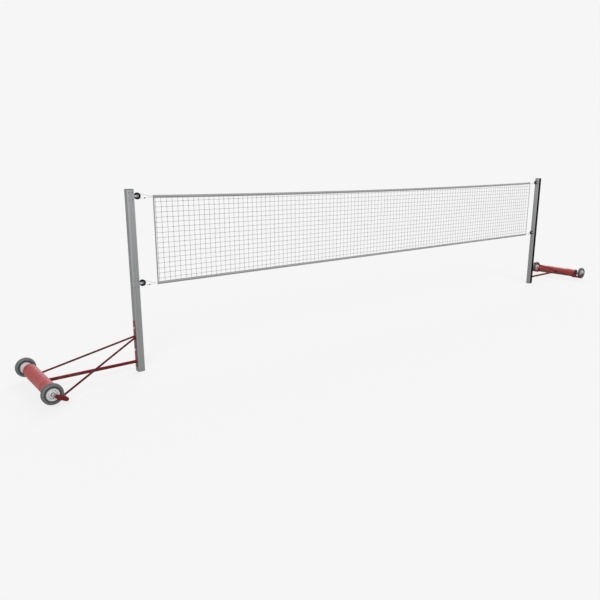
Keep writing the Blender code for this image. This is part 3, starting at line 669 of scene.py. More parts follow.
def strip_finish():
    """Matt black rubber with dust in its grain."""
    look = Finish("strip_black", (12, 12, 13), 0.85, Specular_IOR_Level=0.10)
    clouds = look.noise(18.0, 5.0, (1.0, 1.0, 0.25))
    look.mottle(look.between(clouds, 0.35, 0.7), 0.75, 1.35)
    look.cover(look.between(look.noise(300.0, 3.0), 0.62, 0.8, 0.0, 0.2), 2.5)
    look.roughness(clouds, 0.78, 0.92)
    look.bump(look.noise(800.0, 2.0), 0.00006)
    return look.material


def make_looks():
    """Make one finish for each material slot of the record, and a darker red for the struts as painted shade.
    """
    return {
        "post_grey": post_finish(),
        "cap_grey": plastic_finish("cap_grey", (122, 123, 124), 0.62, 600.0),
        "strip_black": strip_finish(),
        "plate_red": paint_finish("plate_red", (112, 58, 62), 0.50, 0.25, 0.52),
        "frame_red": paint_finish("frame_red", (98, 13, 19), 0.42, 0.14, 0.52, ALONG_TUBES),
        # Painted shade: the struts get a darker copy of the frame's red, though they wear the same paint.
        "strut_shaded_red": paint_finish("strut_shaded_red", (84, 12, 20), 0.42, 0.14, 0.56, ALONG_TUBES),
        # The drum's finish adds painted shade under it and at its ends.
        "drum_red": paint_finish("drum_red", (150, 36, 36), 0.44, 0.55, 0.56, drum_shade=True),
        "core_iron": iron_finish(),
        "tyre_rubber": tyre_finish(),
        "rim_white": rim_finish(),
        "steel_plated": steel_finish("steel_plated", (188, 188, 190), 0.34),
        "pin_dark": steel_finish("pin_dark", (60, 60, 62), 0.42),
        "pulley_black": plastic_finish("pulley_black", (6, 6, 7), 0.66, 500.0),
        "net_twine": twisted_finish("net_twine", (94, 94, 96), 0.004),
        "tape_grey": tape_finish(),
        "cord_white": twisted_finish("cord_white", (226, 226, 224), 0.0035),
    }


# Posts

POST_CORNER_STEPS = 7
COVER_EDGE = 0.0018
PLUG_REACH = 0.018
PLUG_SHARE = 0.89               # the plug's width as a share of the post's
CAP_CORE_SHARE = 0.80           # the same for the core inside the cap's top
CAP_CORE_DEPTH = 0.0022
CAP_CORE_BELOW = 0.00001
SIDE_GROOVE_PLACES = (-0.0095, 0.0095)
SIDE_GROOVE_HALF = 0.0012
SIDE_GROOVE_FLOOR_SHARE = 0.7
SIDE_GROOVE_DEPTH = 0.0007
STRIP_RIBS = 9
STRIP_RIB_STEPS = 8
STRIP_RIB_DEPTH = 0.0005


def post_outline():
    """Return the extruded post's outline: round corners, fine grooves, and the strip's recess."""
    reach = post_half - POST_CORNER
    edge = strip_high.x + STRIP_LAP + gap
    floor_half = SIDE_GROOVE_HALF * SIDE_GROOVE_FLOOR_SHARE
    start, end = (-reach, 0.0), (reach, 0.0)
    grooves = []
    for place in SIDE_GROOVE_PLACES:
        grooves += [(place - SIDE_GROOVE_HALF, 0.0), (place - floor_half, SIDE_GROOVE_DEPTH),
                    (place + floor_half, SIDE_GROOVE_DEPTH), (place + SIDE_GROOVE_HALF, 0.0)]
    recess = [(-edge, 0.0), (-edge, STRIP_RECESS), (edge, STRIP_RECESS), (edge, 0.0)]
    corner = Vector((reach, -reach))
    outline = []
    for quarter, side in enumerate((grooves, [], recess, [])):
        points = [Vector((along, inward - post_half)) for along, inward in (start, *side, end)]
        for step in range(1, POST_CORNER_STEPS):
            angle = math.pi / 2 * (step / POST_CORNER_STEPS - 1)
            points.append(corner + POST_CORNER * Vector((math.cos(angle), math.sin(angle))))
        turn = Matrix.Rotation(quarter * math.pi / 2, 2)
        outline += [tuple(turn @ point) for point in points]
    return outline


def strip_outline():
    """Return the wear strip's outline: flat on the post, with round ribs on its face."""
    reach = strip_high.x + STRIP_LAP
    steps = STRIP_RIBS * STRIP_RIB_STEPS
    crest = []
    for step in range(steps + 1):
        share = step / steps
        rise = 0.5 - 0.5 * math.cos(2 * math.pi * STRIP_RIBS * share)
        crest.append((reach - 2 * reach * share, strip_high.y - STRIP_RIB_DEPTH * (1 - rise)))
    return [(-reach, strip_low.y), (reach, strip_low.y), *crest]


def add_post(prefix):
    """Add the extruded post, the ribbed strip in its side, and the cap and foot."""
    for name, look, node, outline, edge in (
        ("post_profile", "post_grey", "post", post_outline(), 0.0004),
        ("strip_ribbed", "strip_black", "side_strip", strip_outline(), 0.0002),
    ):
        bar = Shape()
        slab(bar, outline, post_low.z, post_high.z, "Z", edge)
        bar.unit_piece(prefix, name, look, node)

    outline = filleted(rectangle(post_half, -post_half, post_half), POST_CORNER * 1.5, 6, closed=True)
    plug = [(x * PLUG_SHARE, y * PLUG_SHARE) for x, y in outline]
    core = [(x * CAP_CORE_SHARE, y * CAP_CORE_SHARE) for x, y in outline]
    for name, node, outer, inside, outward in (
        ("cap_moulded", "post_cap", cap_high.z, post_high.z, 1),
        ("foot_moulded", "post_foot", foot_low.z, post_low.z, -1),
    ):
        cover = Shape()
        slab(cover, outline, outer, inside + outward * gap, "Z", COVER_EDGE)
        slab(cover, plug, inside, inside - outward * PLUG_REACH, "Z", 0.0006)
        if outward > 0:
            slab(cover, core, outer - CAP_CORE_DEPTH, outer - CAP_CORE_BELOW, "Z", 0.0006)
        cover.unit_piece(prefix, name, "cap_grey", node)


# Frame behind the post

PLATE_CORNER = 0.006
PLATE_EDGE = 0.0009
PLATE_BOLT_HEIGHTS = (0.387, 0.196)
PLATE_BOLT_RADIUS = 0.0062
PLATE_BOLT_HEAD = 0.0048
PLATE_BOLT_WASHER = 0.0014
TUBE_WELD_PROUD = 0.0006        # how far a weld's middle lies outside the main tube
STRUT_WELD_PROUD = 0.0005


def strut_line(side):
    """Return the two ends of a strut's centre line, at the plate and at the cross tube."""
    foot_y = side * (gusset_outer + STRUT_FROM_GUSSET)
    top = Vector((plate_face, side * STRUT_TOP_SPREAD / 2, STRUT_TOP))
    return top, Vector((cross_tube.x, foot_y, cross_tube.z - STRUT_AIM_DROP))


def strut_collar(side, radius):
    """Return a strut's direction, and points at a radius round its upper end."""
    top, foot = strut_line(side)
    along = (foot - top).normalized()
    sideways = along.cross(AXES["Z"]).normalized()
    upward = sideways.cross(along)
    return along, [top + sideways * u + upward * v for u, v in circle((0, 0), radius, 48)]


def add_frame(prefix):
    """Add the plate, main tube and struts with the welds that join them."""
    plate = Shape()
    corners = rectangle(plate_high.y, plate_low.z, plate_high.z)
    outline = filleted(corners, PLATE_CORNER, 6, closed=True)
    slab(plate, outline, plate_high.x, plate_low.x, "X", PLATE_EDGE)
    plate.unit_piece(prefix, "plate_edged", "plate_red", "back_plate")

    bolts = Shape()
    for z in PLATE_BOLT_HEIGHTS:
        bolt(bolts, (plate_face, 0.0, z), "X", -1, PLATE_BOLT_RADIUS, PLATE_BOLT_HEAD, PLATE_BOLT_WASHER)
    bolts.unit_piece(prefix, "plate_bolts", "steel_plated")

    main = Shape()
    inside_drum = drum_centre.x + drum_radius * 0.9
    tube(main, [(plate_face, 0, tube_height), (inside_drum, 0, tube_height)], tube_radius, 40)
    main.unit_piece(prefix, "tube_round", "frame_red", "main_tube")

    welds = Shape()
    at_plate = ring((plate_face, 0, tube_height), tube_radius + TUBE_WELD_PROUD, "X")
    weld_bead(welds, at_plate)
    on_drum = []
    for point in at_plate:
        rise = point.z - drum_centre.z
        on_drum.append((drum_centre.x + math.sqrt(drum_radius ** 2 - rise ** 2), point.y, point.z))
    weld_bead(welds, on_drum)
    for side, end_name in UNIT_SIDES[prefix].items():
        strut = Shape()
        tube(strut, strut_line(side), STRUT_RADIUS, 28)
        node = f"strut_{end_name}"
        # The struts wear the frame's red, darkened as painted shade.
        strut.unit_piece(prefix, node + "_round", "strut_shaded_red", node, slot="frame_red")
        along, collar = strut_collar(side, STRUT_RADIUS + STRUT_WELD_PROUD)
        on_plate = [point - along * (point.x - plate_face) / along.x for point in collar]
        weld_bead(welds, on_plate, FINE_WELD_RADIUS)
    welds.unit_piece(prefix, "frame_welds", "frame_red")


# Drum

DRUM_END_DEPTH = 0.0030
DRUM_ROLL_WIDTH = 0.0060
DRUM_ROLL_REACH = 0.0080        # how far the roll runs in along the drum
DRUM_ROLL_SLOPE = 0.0015
DRUM_HOOP_PLACES = (0.030, 0.118)
DRUM_HOOP_RISE = 0.0009
DRUM_HOOP_HALF = 0.0040
DRUM_HOOP_TOP_HALF = 0.0016
DRUM_HOOP_BELOW_ROLL = 0.0003
DRUM_SEAM_ANGLE = math.radians(250)
DRUM_SEAM_INSET = 0.010
DRUM_SEAM_STEPS = 300
DRUM_SEAM_RADIUS = 0.0011
DRUM_SEAM_DEPTH = 0.0004
DRUM_SEAM_PITCH = 0.004


def add_drum(prefix):
    """Add the drum: rolled ends, raised hoops, and a seam weld low on its outer side."""
    skin = drum_radius - DRUM_HOOP_RISE
    roll_inner = drum_radius - DRUM_ROLL_WIDTH
    roll_end = drum_end - DRUM_ROLL_REACH
    plate = drum_end - DRUM_END_DEPTH
    half = [(0.0, plate), (roll_inner - DRUM_ROLL_SLOPE, plate), (roll_inner, drum_end),
            (drum_radius, drum_end), (drum_radius, roll_end), (skin, roll_end - DRUM_ROLL_SLOPE)]
    half = filleted(half, 0.0016, 4)
    hoop = drum_radius - DRUM_HOOP_BELOW_ROLL
    for place in DRUM_HOOP_PLACES:
        middle = drum_end - place
        half += [(skin, middle + DRUM_HOOP_HALF), (hoop, middle + DRUM_HOOP_TOP_HALF),
                 (hoop, middle - DRUM_HOOP_TOP_HALF), (skin, middle - DRUM_HOOP_HALF)]
    drum = Shape()
    turned(drum, mirrored(half), drum_centre, "Y", 96)
    drum.unit_piece(prefix, "drum_rolled", "drum_red", "drum_shell")

    seam = Shape()
    reach = drum_end - DRUM_SEAM_INSET
    radius = skin - DRUM_SEAM_DEPTH
    x = drum_centre.x + radius * math.cos(DRUM_SEAM_ANGLE)
    z = drum_centre.z + radius * math.sin(DRUM_SEAM_ANGLE)
    path = [(x, -reach + 2 * reach * step / DRUM_SEAM_STEPS, z) for step in range(DRUM_SEAM_STEPS + 1)]
    weld_bead(seam, path, DRUM_SEAM_RADIUS, DRUM_SEAM_PITCH, closed=False)
    seam.unit_piece(prefix, "drum_seam", "drum_red")


# Wheels

FORK_WELD_PROUD = 0.0004
FORK_WELD_RADIUS = 0.0019
MOUTH_WELD_RADIUS = 0.0010
WASHER_THICKNESS = 0.0016
AXLE_NUT_SHARE = 0.50           # the cap nut's radius and height, as shares of its solid's
AXLE_NUT_HEIGHT_SHARE = 0.66
RIM_DISH = 0.0075               # how far the rim's lip lies inside the tyre's side
RIM_SCREWS = 10
RIM_SCREW_CIRCLE = 0.0315
RIM_SCREW_RADIUS = 0.0024
RIM_SCREW_HEIGHT = 0.0036
RIM_SCREW_SUNK = 0.0024
RIM_BORE = 0.0063
RIM_BOSS_RISE = 0.0020          # how far the hub's boss stands out of the web
SEAL_RADIUS = 0.0165
BEAD_LAP = 0.0016               # how far the tyre's bead reaches in over the rim
TYRE_SIDE_REACH = 0.0140        # how far out from the rim the tyre's side stands proudest
TYRE_SHOULDER = 0.0160
TYRE_SHOULDER_STEPS = 9
TREAD_HALF = 0.0065             # half the tread's flat width
TREAD_GROOVES = (0.0062, -0.0062)
TREAD_GROOVE_HALF = 0.0014
TREAD_GROOVE_FLOOR_HALF = 0.0008
TREAD_GROOVE_DEPTH = 0.0016


def add_fork(prefix, side, end_name):
    """Add one wheel's fork: gusset, open cross tube, outer leg and their welds."""
    axle = (axle_centre.x, axle_centre.z)
    low = (cross_tube.x, cross_tube.z)
    waist = ((axle[0] + low[0]) / 2, (axle[1] + low[1]) / 2)
    fork = Shape()
    gusset = hull_outline([
        (*axle, GUSSET_AXLE_RADIUS), (drum_centre.x, drum_centre.z, GUSSET_DRUM_RADIUS),
        (*low, tube_radius - GUSSET_TUBE_INSET),
    ])
    slab(fork, gusset, side * gusset_inner, side * gusset_outer, "Y", 0.0008)
    leg = hull_outline([(*axle, LEG_AXLE_RADIUS), (*waist, LEG_WAIST_RADIUS), (*low, LEG_TUBE_RADIUS)])
    slab(fork, leg, side * leg_inner, side * leg_outer, "Y", 0.0010)
    inside = drum_end - CROSS_TUBE_INSIDE
    bore_end = mouth - CROSS_TUBE_BORE_DEPTH
    profile = [(0, inside), (tube_radius, inside), (tube_radius, mouth), (CROSS_TUBE_BORE, mouth),
               (CROSS_TUBE_BORE, bore_end), (0, bore_end)]
    turned(fork, filleted(profile, 0.0006, 2), cross_tube, "Y", 40, side)
    for level, radius in ((gusset_outer, FORK_WELD_RADIUS), (leg_inner, FORK_WELD_RADIUS),
                          (leg_outer, MOUTH_WELD_RADIUS)):
        place = cross_tube + AXES["Y"] * side * level
        weld_bead(fork, ring(place, tube_radius + FORK_WELD_PROUD, "Y"), radius)
    along, collar = strut_collar(side, STRUT_RADIUS + FORK_WELD_PROUD)
    squared = along.x ** 2 + along.z ** 2
    saddle = []
    for start in collar:
        dx, dz = start.x - cross_tube.x, start.z - cross_tube.z
        half = dx * along.x + dz * along.z
        rest = dx ** 2 + dz ** 2 - tube_radius ** 2
        saddle.append(start + along * (-half - math.sqrt(max(half ** 2 - squared * rest, 0.0))) / squared)
    weld_bead(fork, saddle, FINE_WELD_RADIUS)
    fork.unit_piece(prefix, f"wheel_fork_{end_name}_welded", "frame_red", f"wheel_fork_{end_name}")


def add_axle(prefix, side, end_name):
    """Add the stub axle with its collar, and the washer and cap nut on its outer end."""
    outward = AXES["Y"] * side
    collar_start = gusset_outer + gap
    collar_end = wheel_middle - wheel_half - gap
    profile = [(0, gusset_inner), (AXLE_RADIUS, gusset_inner), (AXLE_RADIUS, collar_start),
               (collar_radius, collar_start), (collar_radius, collar_end), (AXLE_RADIUS, collar_end),
               (AXLE_RADIUS, nut_face), (0, nut_face)]
    shaft = Shape()
    turned(shaft, filleted(profile, 0.0005, 2), axle_line, "Y", 36, side)
    shaft.unit_piece(prefix, f"axle_{end_name}_turned", "steel_plated", f"axle_{end_name}")

    washer = Shape()
    base = axle_line + outward * (leg_outer + gap / 2)
    flange = [(0, 0), (nut_radius, 0), (nut_radius, WASHER_THICKNESS), (0, WASHER_THICKNESS)]
    turned(washer, filleted(flange, 0.0004, 2), base, "Y", 40, side)
    washer.unit_piece(prefix, f"axle_washer_{end_name}", "steel_plated")

    nut = Shape()
    base += outward * WASHER_THICKNESS
    height = (nut_tip - side * base.y) * AXLE_NUT_HEIGHT_SHARE
    bolt(nut, base, "Y", side, nut_radius * AXLE_NUT_SHARE, height, dome=True)
    nut.unit_piece(prefix, f"axle_nut_{end_name}_capped", "pin_dark", f"axle_nut_{end_name}")


def tyre_profile():
    """Return the tyre's ring: tread with two grooves, round shoulders, and a stepped side."""
    lip = wheel_half - RIM_DISH
    proud = rim_radius + TYRE_SIDE_REACH
    half = [
        (rim_radius + 0.0003, lip), (rim_radius - BEAD_LAP, lip),
        (rim_radius - BEAD_LAP + 0.0010, lip + 0.0014),
        (proud - 0.0015, wheel_half - 0.0012), (proud, wheel_half - 0.0002),
    ]
    for step in range(1, TYRE_SHOULDER_STEPS + 1):
        angle = math.radians(84) * step / TYRE_SHOULDER_STEPS
        half.append((wheel_radius - TYRE_SHOULDER * (1 - math.sin(angle)),
                     TREAD_HALF + (wheel_half - TREAD_HALF) * math.cos(angle)))
    half = filleted(half, 0.0010, 2)
    floor = wheel_radius - TREAD_GROOVE_DEPTH
    grooves = []
    for place in TREAD_GROOVES:
        grooves += [(wheel_radius, place + TREAD_GROOVE_HALF), (floor, place + TREAD_GROOVE_FLOOR_HALF),
                    (floor, place - TREAD_GROOVE_FLOOR_HALF), (wheel_radius, place - TREAD_GROOVE_HALF)]
    return mirrored(half, grooves) + half[:1]


def add_wheel(prefix, side, end_name):
    """Add one wheel: tyre, nylon centre, its ring of screws, and the seals round its hub."""
    centre = Vector((axle_centre.x, side * wheel_middle, axle_centre.z))
    riding = {"body": f"{prefix}_{end_name}_wheel", "origin": UNITS[prefix] @ centre}
    tyre = Shape()
    turned(tyre, tyre_profile(), centre, "Y", 112)
    tyre.unit_piece(prefix, f"tyre_{end_name}_treaded", "tyre_rubber", f"tyre_{end_name}", **riding)

    lip = wheel_half - RIM_DISH - 0.0002
    web = RIM_WEB / 2
    boss = web + RIM_BOSS_RISE
    face = [(rim_radius, lip), (rim_radius - 0.0040, lip), (rim_radius - 0.0062, web - 0.0026),
            (rim_radius - 0.0100, web - 0.0040), (SEAL_RADIUS + 0.0030, boss), (HUB_RADIUS, boss)]
    outer, inner = [
        filleted([*face, (HUB_RADIUS, hub), (RIM_BORE, hub)], 0.0014, 4)
        for hub in (hub_end - wheel_middle, wheel_half)
    ]
    rim = Shape()
    turned(rim, outer[::-1] + [(radius, -along) for radius, along in inner], centre, "Y", 96, side)
    rim.unit_piece(prefix, f"rim_{end_name}_moulded", "rim_white", f"rim_{end_name}", **riding)

    screws = Shape()
    for step in range(RIM_SCREWS):
        angle = 2 * math.pi * (step + 0.5) / RIM_SCREWS
        x, z = RIM_SCREW_CIRCLE * math.cos(angle), RIM_SCREW_CIRCLE * math.sin(angle)
        place = centre + Vector((x, side * (web - RIM_SCREW_SUNK), z))
        round_screw(screws, place, "Y", side, RIM_SCREW_RADIUS, RIM_SCREW_HEIGHT)
    screws.unit_piece(prefix, f"{end_name}_wheel_screws", "pin_dark", **riding)

    seals = Shape()
    section = [(HUB_RADIUS, boss), (SEAL_RADIUS, boss), (SEAL_RADIUS - 0.0012, boss + 0.0032),
               (HUB_RADIUS, boss + 0.0042)]
    for face_side in (-1, 1):
        turned(seals, filleted(section, 0.0006, 2), centre, "Y", 48, face_side)
    seals.unit_piece(prefix, f"{end_name}_wheel_seals", "pulley_black", **riding)


# Pulleys

SHEAVE_HUB = 0.0085
SHEAVE_WEB_END = 0.0205
SHEAVE_DISH = 0.0014
BRACKET_CORNER = 0.005
PIN_END_INSET = 0.001
POST_SCREW_SPREAD = 0.016
POST_SCREW_RISE = 0.028
POST_SCREW = (0.0036, 0.0018)   # radius and height of its head
BRACKET_SCREW_RISE = 0.022
BRACKET_SCREW = (0.0042, 0.0024)


def add_pulley(prefix, level):
    """Add one pulley with its bracket, pin, and the screws that hold them on the post."""
    centre = pulley_centres[level]
    half = pulley_half
    side = filleted([
        (PIN_RADIUS + 0.0003, half), (SHEAVE_HUB, half), (SHEAVE_HUB + 0.0010, half - SHEAVE_DISH + 0.0002),
        (SHEAVE_WEB_END - 0.0025, half - SHEAVE_DISH), (SHEAVE_WEB_END, half), (pulley_radius - 0.0012, half),
        (pulley_radius, half - 0.0008), (pulley_radius - 0.0002, half - 0.0018),
        (GROOVE_RADIUS + 0.0022, 0.0032), (GROOVE_RADIUS + 0.0003, 0.0018),
    ], 0.0005, 2)
    sheave = Shape()
    turned(sheave, mirrored(side, [(GROOVE_RADIUS, 0.0)]), centre, "Y", 72)
    sheave.unit_piece(prefix, f"pulley_{level}_grooved", "pulley_black", f"pulley_{level}",
                      body=f"{prefix}_{level}_sheave", origin=UNITS[prefix] @ centre)

    bracket = Shape()
    inner = post_half + gap
    outer = inner + BRACKET_THICKNESS
    corners = rectangle(BRACKET_WIDTH / 2, centre.z - BRACKET_HEIGHT / 2, centre.z + BRACKET_HEIGHT / 2)
    slab(bracket, filleted(corners, BRACKET_CORNER, 5, closed=True), inner, outer, "X", 0.0006)
    root_x = (inner + outer) / 2
    root = [(root_x, centre.z - CHEEK_ROOT / 2), (root_x, centre.z + CHEEK_ROOT / 2)]
    outline = hull_outline([(centre.x, centre.z, CHEEK_EYE_RADIUS)], root, 48)
    cheek_inner = half + CHEEK_CLEARANCE
    cheek_outer = cheek_inner + CHEEK_THICKNESS
    for cheek_side in (-1, 1):
        slab(bracket, outline, cheek_side * cheek_inner, cheek_side * cheek_outer, "Y")
    node = f"pulley_bracket_{level}"
    bracket.unit_piece(prefix, node + "_pressed", "steel_plated", node)

    pin = Shape()
    reach = pin_reach - PIN_END_INSET
    turned(pin, [(0, -reach), (PIN_RADIUS, -reach), (PIN_RADIUS, reach), (0, reach)], centre, "Y", 32)
    head_base = cheek_outer + gap / 2
    for end_side in (-1, 1):
        place = centre + AXES["Y"] * end_side * head_base
        round_screw(pin, place, "Y", end_side, PIN_HEAD_RADIUS, pin_reach - head_base)
    node = f"pulley_pin_{level}"
    pin.unit_piece(prefix, node + "_headed", "pin_dark", node)

    screws = Shape()
    for height in (centre.z - POST_SCREW_RISE, centre.z + POST_SCREW_RISE):
        for across in (-POST_SCREW_SPREAD, POST_SCREW_SPREAD):
            round_screw(screws, (across, -post_half, height), "Y", -1, *POST_SCREW)
        round_screw(screws, (-post_half, -POST_SCREW_SPREAD, height), "X", -1, *POST_SCREW)
    for height in (centre.z - BRACKET_SCREW_RISE, centre.z + BRACKET_SCREW_RISE):
        round_screw(screws, (outer, 0.0, height), "X", 1, *BRACKET_SCREW)
    screws.unit_piece(prefix, f"post_screws_{level}", "pin_dark")


# Netting

NET_ROWS = 16
NET_LOW_ROW = 0.791
NET_ROW_PITCH = 0.0432
NET_COLUMNS = 112
NET_FIRST_COLUMN = -2.867
NET_COLUMN_PITCH = 0.0511
NET_JITTER = 0.0008
TWINE_RADIUS = 0.00126
TWINE_SIDES = 6
TWINE_END = 0.0012              # how far a twine reaches in between the layers of a tape
TWINE_CLEARANCE = 0.002         # between the last knot of a column and the top tape
KNOT_SIZE = (0.0036, 0.0030, 0.0036)
KNOT_WAIST = 0.86
KNOT_TILT = 0.4


def hem_height(level, x):
    """Return the height of a hem's centre line: the top one hangs in a shallow curve."""
    return hem_heights[level] - hem_sags[level] * (1 - (x / hem_end) ** 2)


def jitter():
    """Return a small random distance to either side."""
    return random.uniform(-NET_JITTER, NET_JITTER)


def net_nodes():
    """Return where each twine crosses each other one, a little off a perfect grid."""
    return [
        [
            Vector((NET_FIRST_COLUMN + NET_COLUMN_PITCH * column + jitter(), jitter(),
                    NET_LOW_ROW + NET_ROW_PITCH * row + jitter()))
            for column in range(NET_COLUMNS)
        ]
        for row in range(NET_ROWS)
    ]


def twine(shape, stops):
    """Add one twine through its knots, bowed a little between them."""
    path = []
    for near, far in zip(stops, stops[1:]):
        bow = Vector((random.uniform(-1, 1), random.uniform(-1, 1), random.uniform(-1, 1))) * NET_JITTER
        for share in (0.0, 0.33, 0.67):
            path.append(near.lerp(far, share) + bow * math.sin(math.pi * share))
    path.append(stops[-1])
    tube(shape, path, TWINE_RADIUS, TWINE_SIDES)


def knot(shape, place):
    """Add the lump where two twines are knotted."""
    turn = Matrix.Rotation(random.uniform(0.0, math.pi), 3, "Y")
    turn @= Matrix.Rotation(random.uniform(-KNOT_TILT, KNOT_TILT), 3, "X")
    width, depth, height = KNOT_SIZE
    rows = []
    for level in (-0.97, -0.55, 0.0, 0.55, 0.97):
        across = math.sqrt(1 - level ** 2) * (1.0 if level else KNOT_WAIST)
        rows.append([
            place + turn @ Vector((width * across * u, depth * across * v, height * level))
            for u, v in circle((0, 0), 1.0, 8)
        ])
    shape.grid(rows, capped=True)


def add_netting():
    """Add the knotted netting between the four tapes."""
    nodes = net_nodes()
    twines = Shape()
    side = hem_end - side_tape_width + TWINE_END
    tape_reach = TAPE_HEIGHT / 2 - TWINE_END
    for row in nodes:
        twine(twines, [Vector((-side, 0.0, row[0].z)), *row, Vector((side, 0.0, row[-1].z))])
    for column in range(NET_COLUMNS):
        stops = [row[column] for row in nodes]
        low = Vector((stops[0].x, 0.0, hem_height("low", stops[0].x) + tape_reach))
        high = Vector((stops[-1].x, 0.0, hem_height("top", stops[-1].x) - tape_reach))
        twine(twines, [low, *[stop for stop in stops if stop.z < high.z - TWINE_CLEARANCE], high])
    for row in nodes:
        for place in row:
            if place.z < hem_height("top", place.x) - TAPE_HEIGHT / 2:
                knot(twines, place)
    return twines.piece("net_knotted", "net_twine", replaces=["net_panel"])


# Tapes

TAPE_LAYER = 0.0006
TAPE_EDGE_HALF = 0.0008
TAPE_BULGE = 0.0035
TAPE_BULGE_HEIGHT = 0.0042
TAPE_STEPS = 22
TAPE_STATIONS = 260
SIDE_TAPE_STATIONS = 60
STITCH_PITCH = 0.0062
STITCH_LENGTH = 0.0042
STITCH_RADIUS = 0.00035
STITCH_LINES = (-0.0092, 0.0080)
STITCH_FROM_END = 0.004
SIDE_STITCH_FROM_END = 0.006


def tape_half_thickness(height):
    """Return how far a hem tape's outside stands from its middle, swelling over the cord."""
    swell = math.exp(-((height / TAPE_BULGE_HEIGHT) ** 2))
    return TAPE_EDGE_HALF + (TAPE_BULGE + TAPE_LAYER - TAPE_EDGE_HALF) * swell


def tape_section(level):
    """Return the section of a hem tape as (across, height) points, folded over the cord at its outer edge."""
    half = TAPE_HEIGHT / 2
    fold = half - TAPE_EDGE_HALF
    heights = [half - TAPE_HEIGHT * step / TAPE_STEPS for step in range(TAPE_STEPS + 1)]
    right = [(tape_half_thickness(h), h) for h in heights if h < fold]
    turn = [(TAPE_EDGE_HALF * math.cos(a), fold + TAPE_EDGE_HALF * math.sin(a))
            for a in [math.pi * step / 6 for step in range(1, 6)]]
    outside = [*reversed(right), *turn, *[(-y, h) for y, h in right]]
    inside = []
    for y, h in reversed(outside):
        inner_y = max(abs(y) - TAPE_LAYER, 0.00015) * (1 if y >= 0 else -1)
        inside.append((inner_y, min(h, half - TAPE_LAYER)))
    flip = 1 if level == "top" else -1
    return [(y, h * flip) for y, h in outside + inside]


def add_hem_tape(level):
    """Add the webbing of one hem, a little puckered by its stitching."""
    shape = Shape()
    section = tape_section(level)
    rows = []
    for station in range(TAPE_STATIONS + 1):
        x = -hem_end + 2 * hem_end * station / TAPE_STATIONS
        pucker = 1 + 0.05 * math.sin(station * 2.1) + random.uniform(-0.03, 0.03)
        middle = hem_height(level, x)
        rows.append([(x, y * pucker, middle + h) for y, h in section])
    shape.grid(rows, capped=True)
    return shape.piece(level + "_tape_webbing", "tape_grey", replaces=[level + "_tape"])


def stitch(shape, start, end, face):
    """Add one stitch as a short bar that dips into the cloth at its ends."""
    lift = Vector((0, face * STITCH_RADIUS, 0))
    middle = start.lerp(end, 0.5) + lift
    tube(shape, [start, start.lerp(middle, 0.6) + lift * 0.3, end.lerp(middle, 0.6) + lift * 0.3, end],
         STITCH_RADIUS, 4)


def add_stitches():
    """Add the rows of stitches on both faces of the hems and down the side tapes."""
    shape = Shape()
    count = int(2 * hem_end / STITCH_PITCH)
    for level, flip in (("top", 1), ("low", -1)):
        for line in STITCH_LINES:
            out = tape_half_thickness(line)
            for step in range(count):
                x = -hem_end + STITCH_FROM_END + STITCH_PITCH * step
                for face in (-1, 1):
                    ends = [Vector((end_x, face * out, hem_height(level, end_x) + line * flip))
                            for end_x in (x, x + STITCH_LENGTH)]
                    stitch(shape, *ends, face)
    for side in (-1, 1):
        x = side * (hem_end - side_tape_width * 0.5)
        height = side_tape_low.z + SIDE_STITCH_FROM_END
        while height < side_tape_high.z - SIDE_STITCH_FROM_END:
            for face in (-1, 1):
                start = Vector((x, face * side_tape_high.y, height))
                stitch(shape, start, start + AXES["Z"] * STITCH_LENGTH, face)
            height += STITCH_PITCH
    return shape.piece("tape_stitches", "tape_grey")


def add_side_tape(name, side):
    """Add the folded tape down one end of the net."""
    shape = Shape()
    half = side_tape_high.y
    width = side_tape_width
    outside = filleted([(0.0, -half), (width, -half), (width, half), (0.0, half)], half * 0.9, 4)
    inside = [(u - (TAPE_LAYER if u > width - half else 0.0), v * 0.5) for u, v in reversed(outside)]
    rows = []
    for station in range(SIDE_TAPE_STATIONS + 1):
        z = side_tape_low.z + (side_tape_high.z - side_tape_low.z) * station / SIDE_TAPE_STATIONS
        pucker = 1 + 0.04 * math.sin(station * 2.3)
        rows.append([(side * (hem_end - width + u), v * pucker, z) for u, v in outside + inside])
    shape.grid(rows, capped=True)
    return shape.piece(name + "_webbing", "tape_grey", replaces=[name])


# Cords

CORD_SIDES = 12
CORD_STEP = 0.0012
CORD_BRAID = 0.00022            # how high the crossing strands stand
CORD_BRAID_PITCH = 0.0052
CORD_ENTRY = 0.003              # how far outside the hem a cord turns into it
CORD_HEM_STEPS = 64
TAIL_FROM_TAPE = 0.014
TAIL_DROP = 0.0065
SHEAVE_STEPS = 40
CLAMP_FROM_POST = 0.1295        # from the post's middle, along the net
CLAMP_HALF = [(0, -0.0052), (0.0040, -0.0052), (0.0047, -0.0040), (0.0047, -0.0012), (0.0038, -0.0006)]
WHIPPING_TURNS = 6
WHIPPING_START = 0.0016
WHIPPING_PITCH = 0.0010
WHIPPING_RADIUS = 0.0005


def tangent_angle(centre, radius, point, above):
    """Return where on a circle a straight line from the point touches it, above or below."""
    across = point[0] - centre[0]
    up = point[1] - centre[1]
    return math.atan2(up, across) + above * math.acos(radius / math.hypot(across, up))


def cord_end_route(level):
    """Return one end of a cord, from its tail round the pulley to the hem, in the left unit's place."""
    centre = (unit_origin.x + pulley_centres[level].x, pulley_centres[level].z)
    radius = cord_wrap_radius
    entry = (-hem_end - CORD_ENTRY, hem_height(level, hem_end))
    over = tangent_angle(centre, radius, entry, 1)
    slope = (centre[1] + radius * math.sin(over) - entry[1]) / (centre[0] - entry[0])
    tail_x = -hem_end - TAIL_FROM_TAPE
    tail = (tail_x, entry[1] + slope * (tail_x - entry[0]) - TAIL_DROP)
    under = tangent_angle(centre, radius, tail, -1) + 2 * math.pi
    wrap = [under + (over - under) * step / SHEAVE_STEPS for step in range(SHEAVE_STEPS + 1)]
    on_wheel = [(centre[0] + radius * math.cos(a), centre[1] + radius * math.sin(a)) for a in wrap]
    return [tail, *on_wheel, entry]


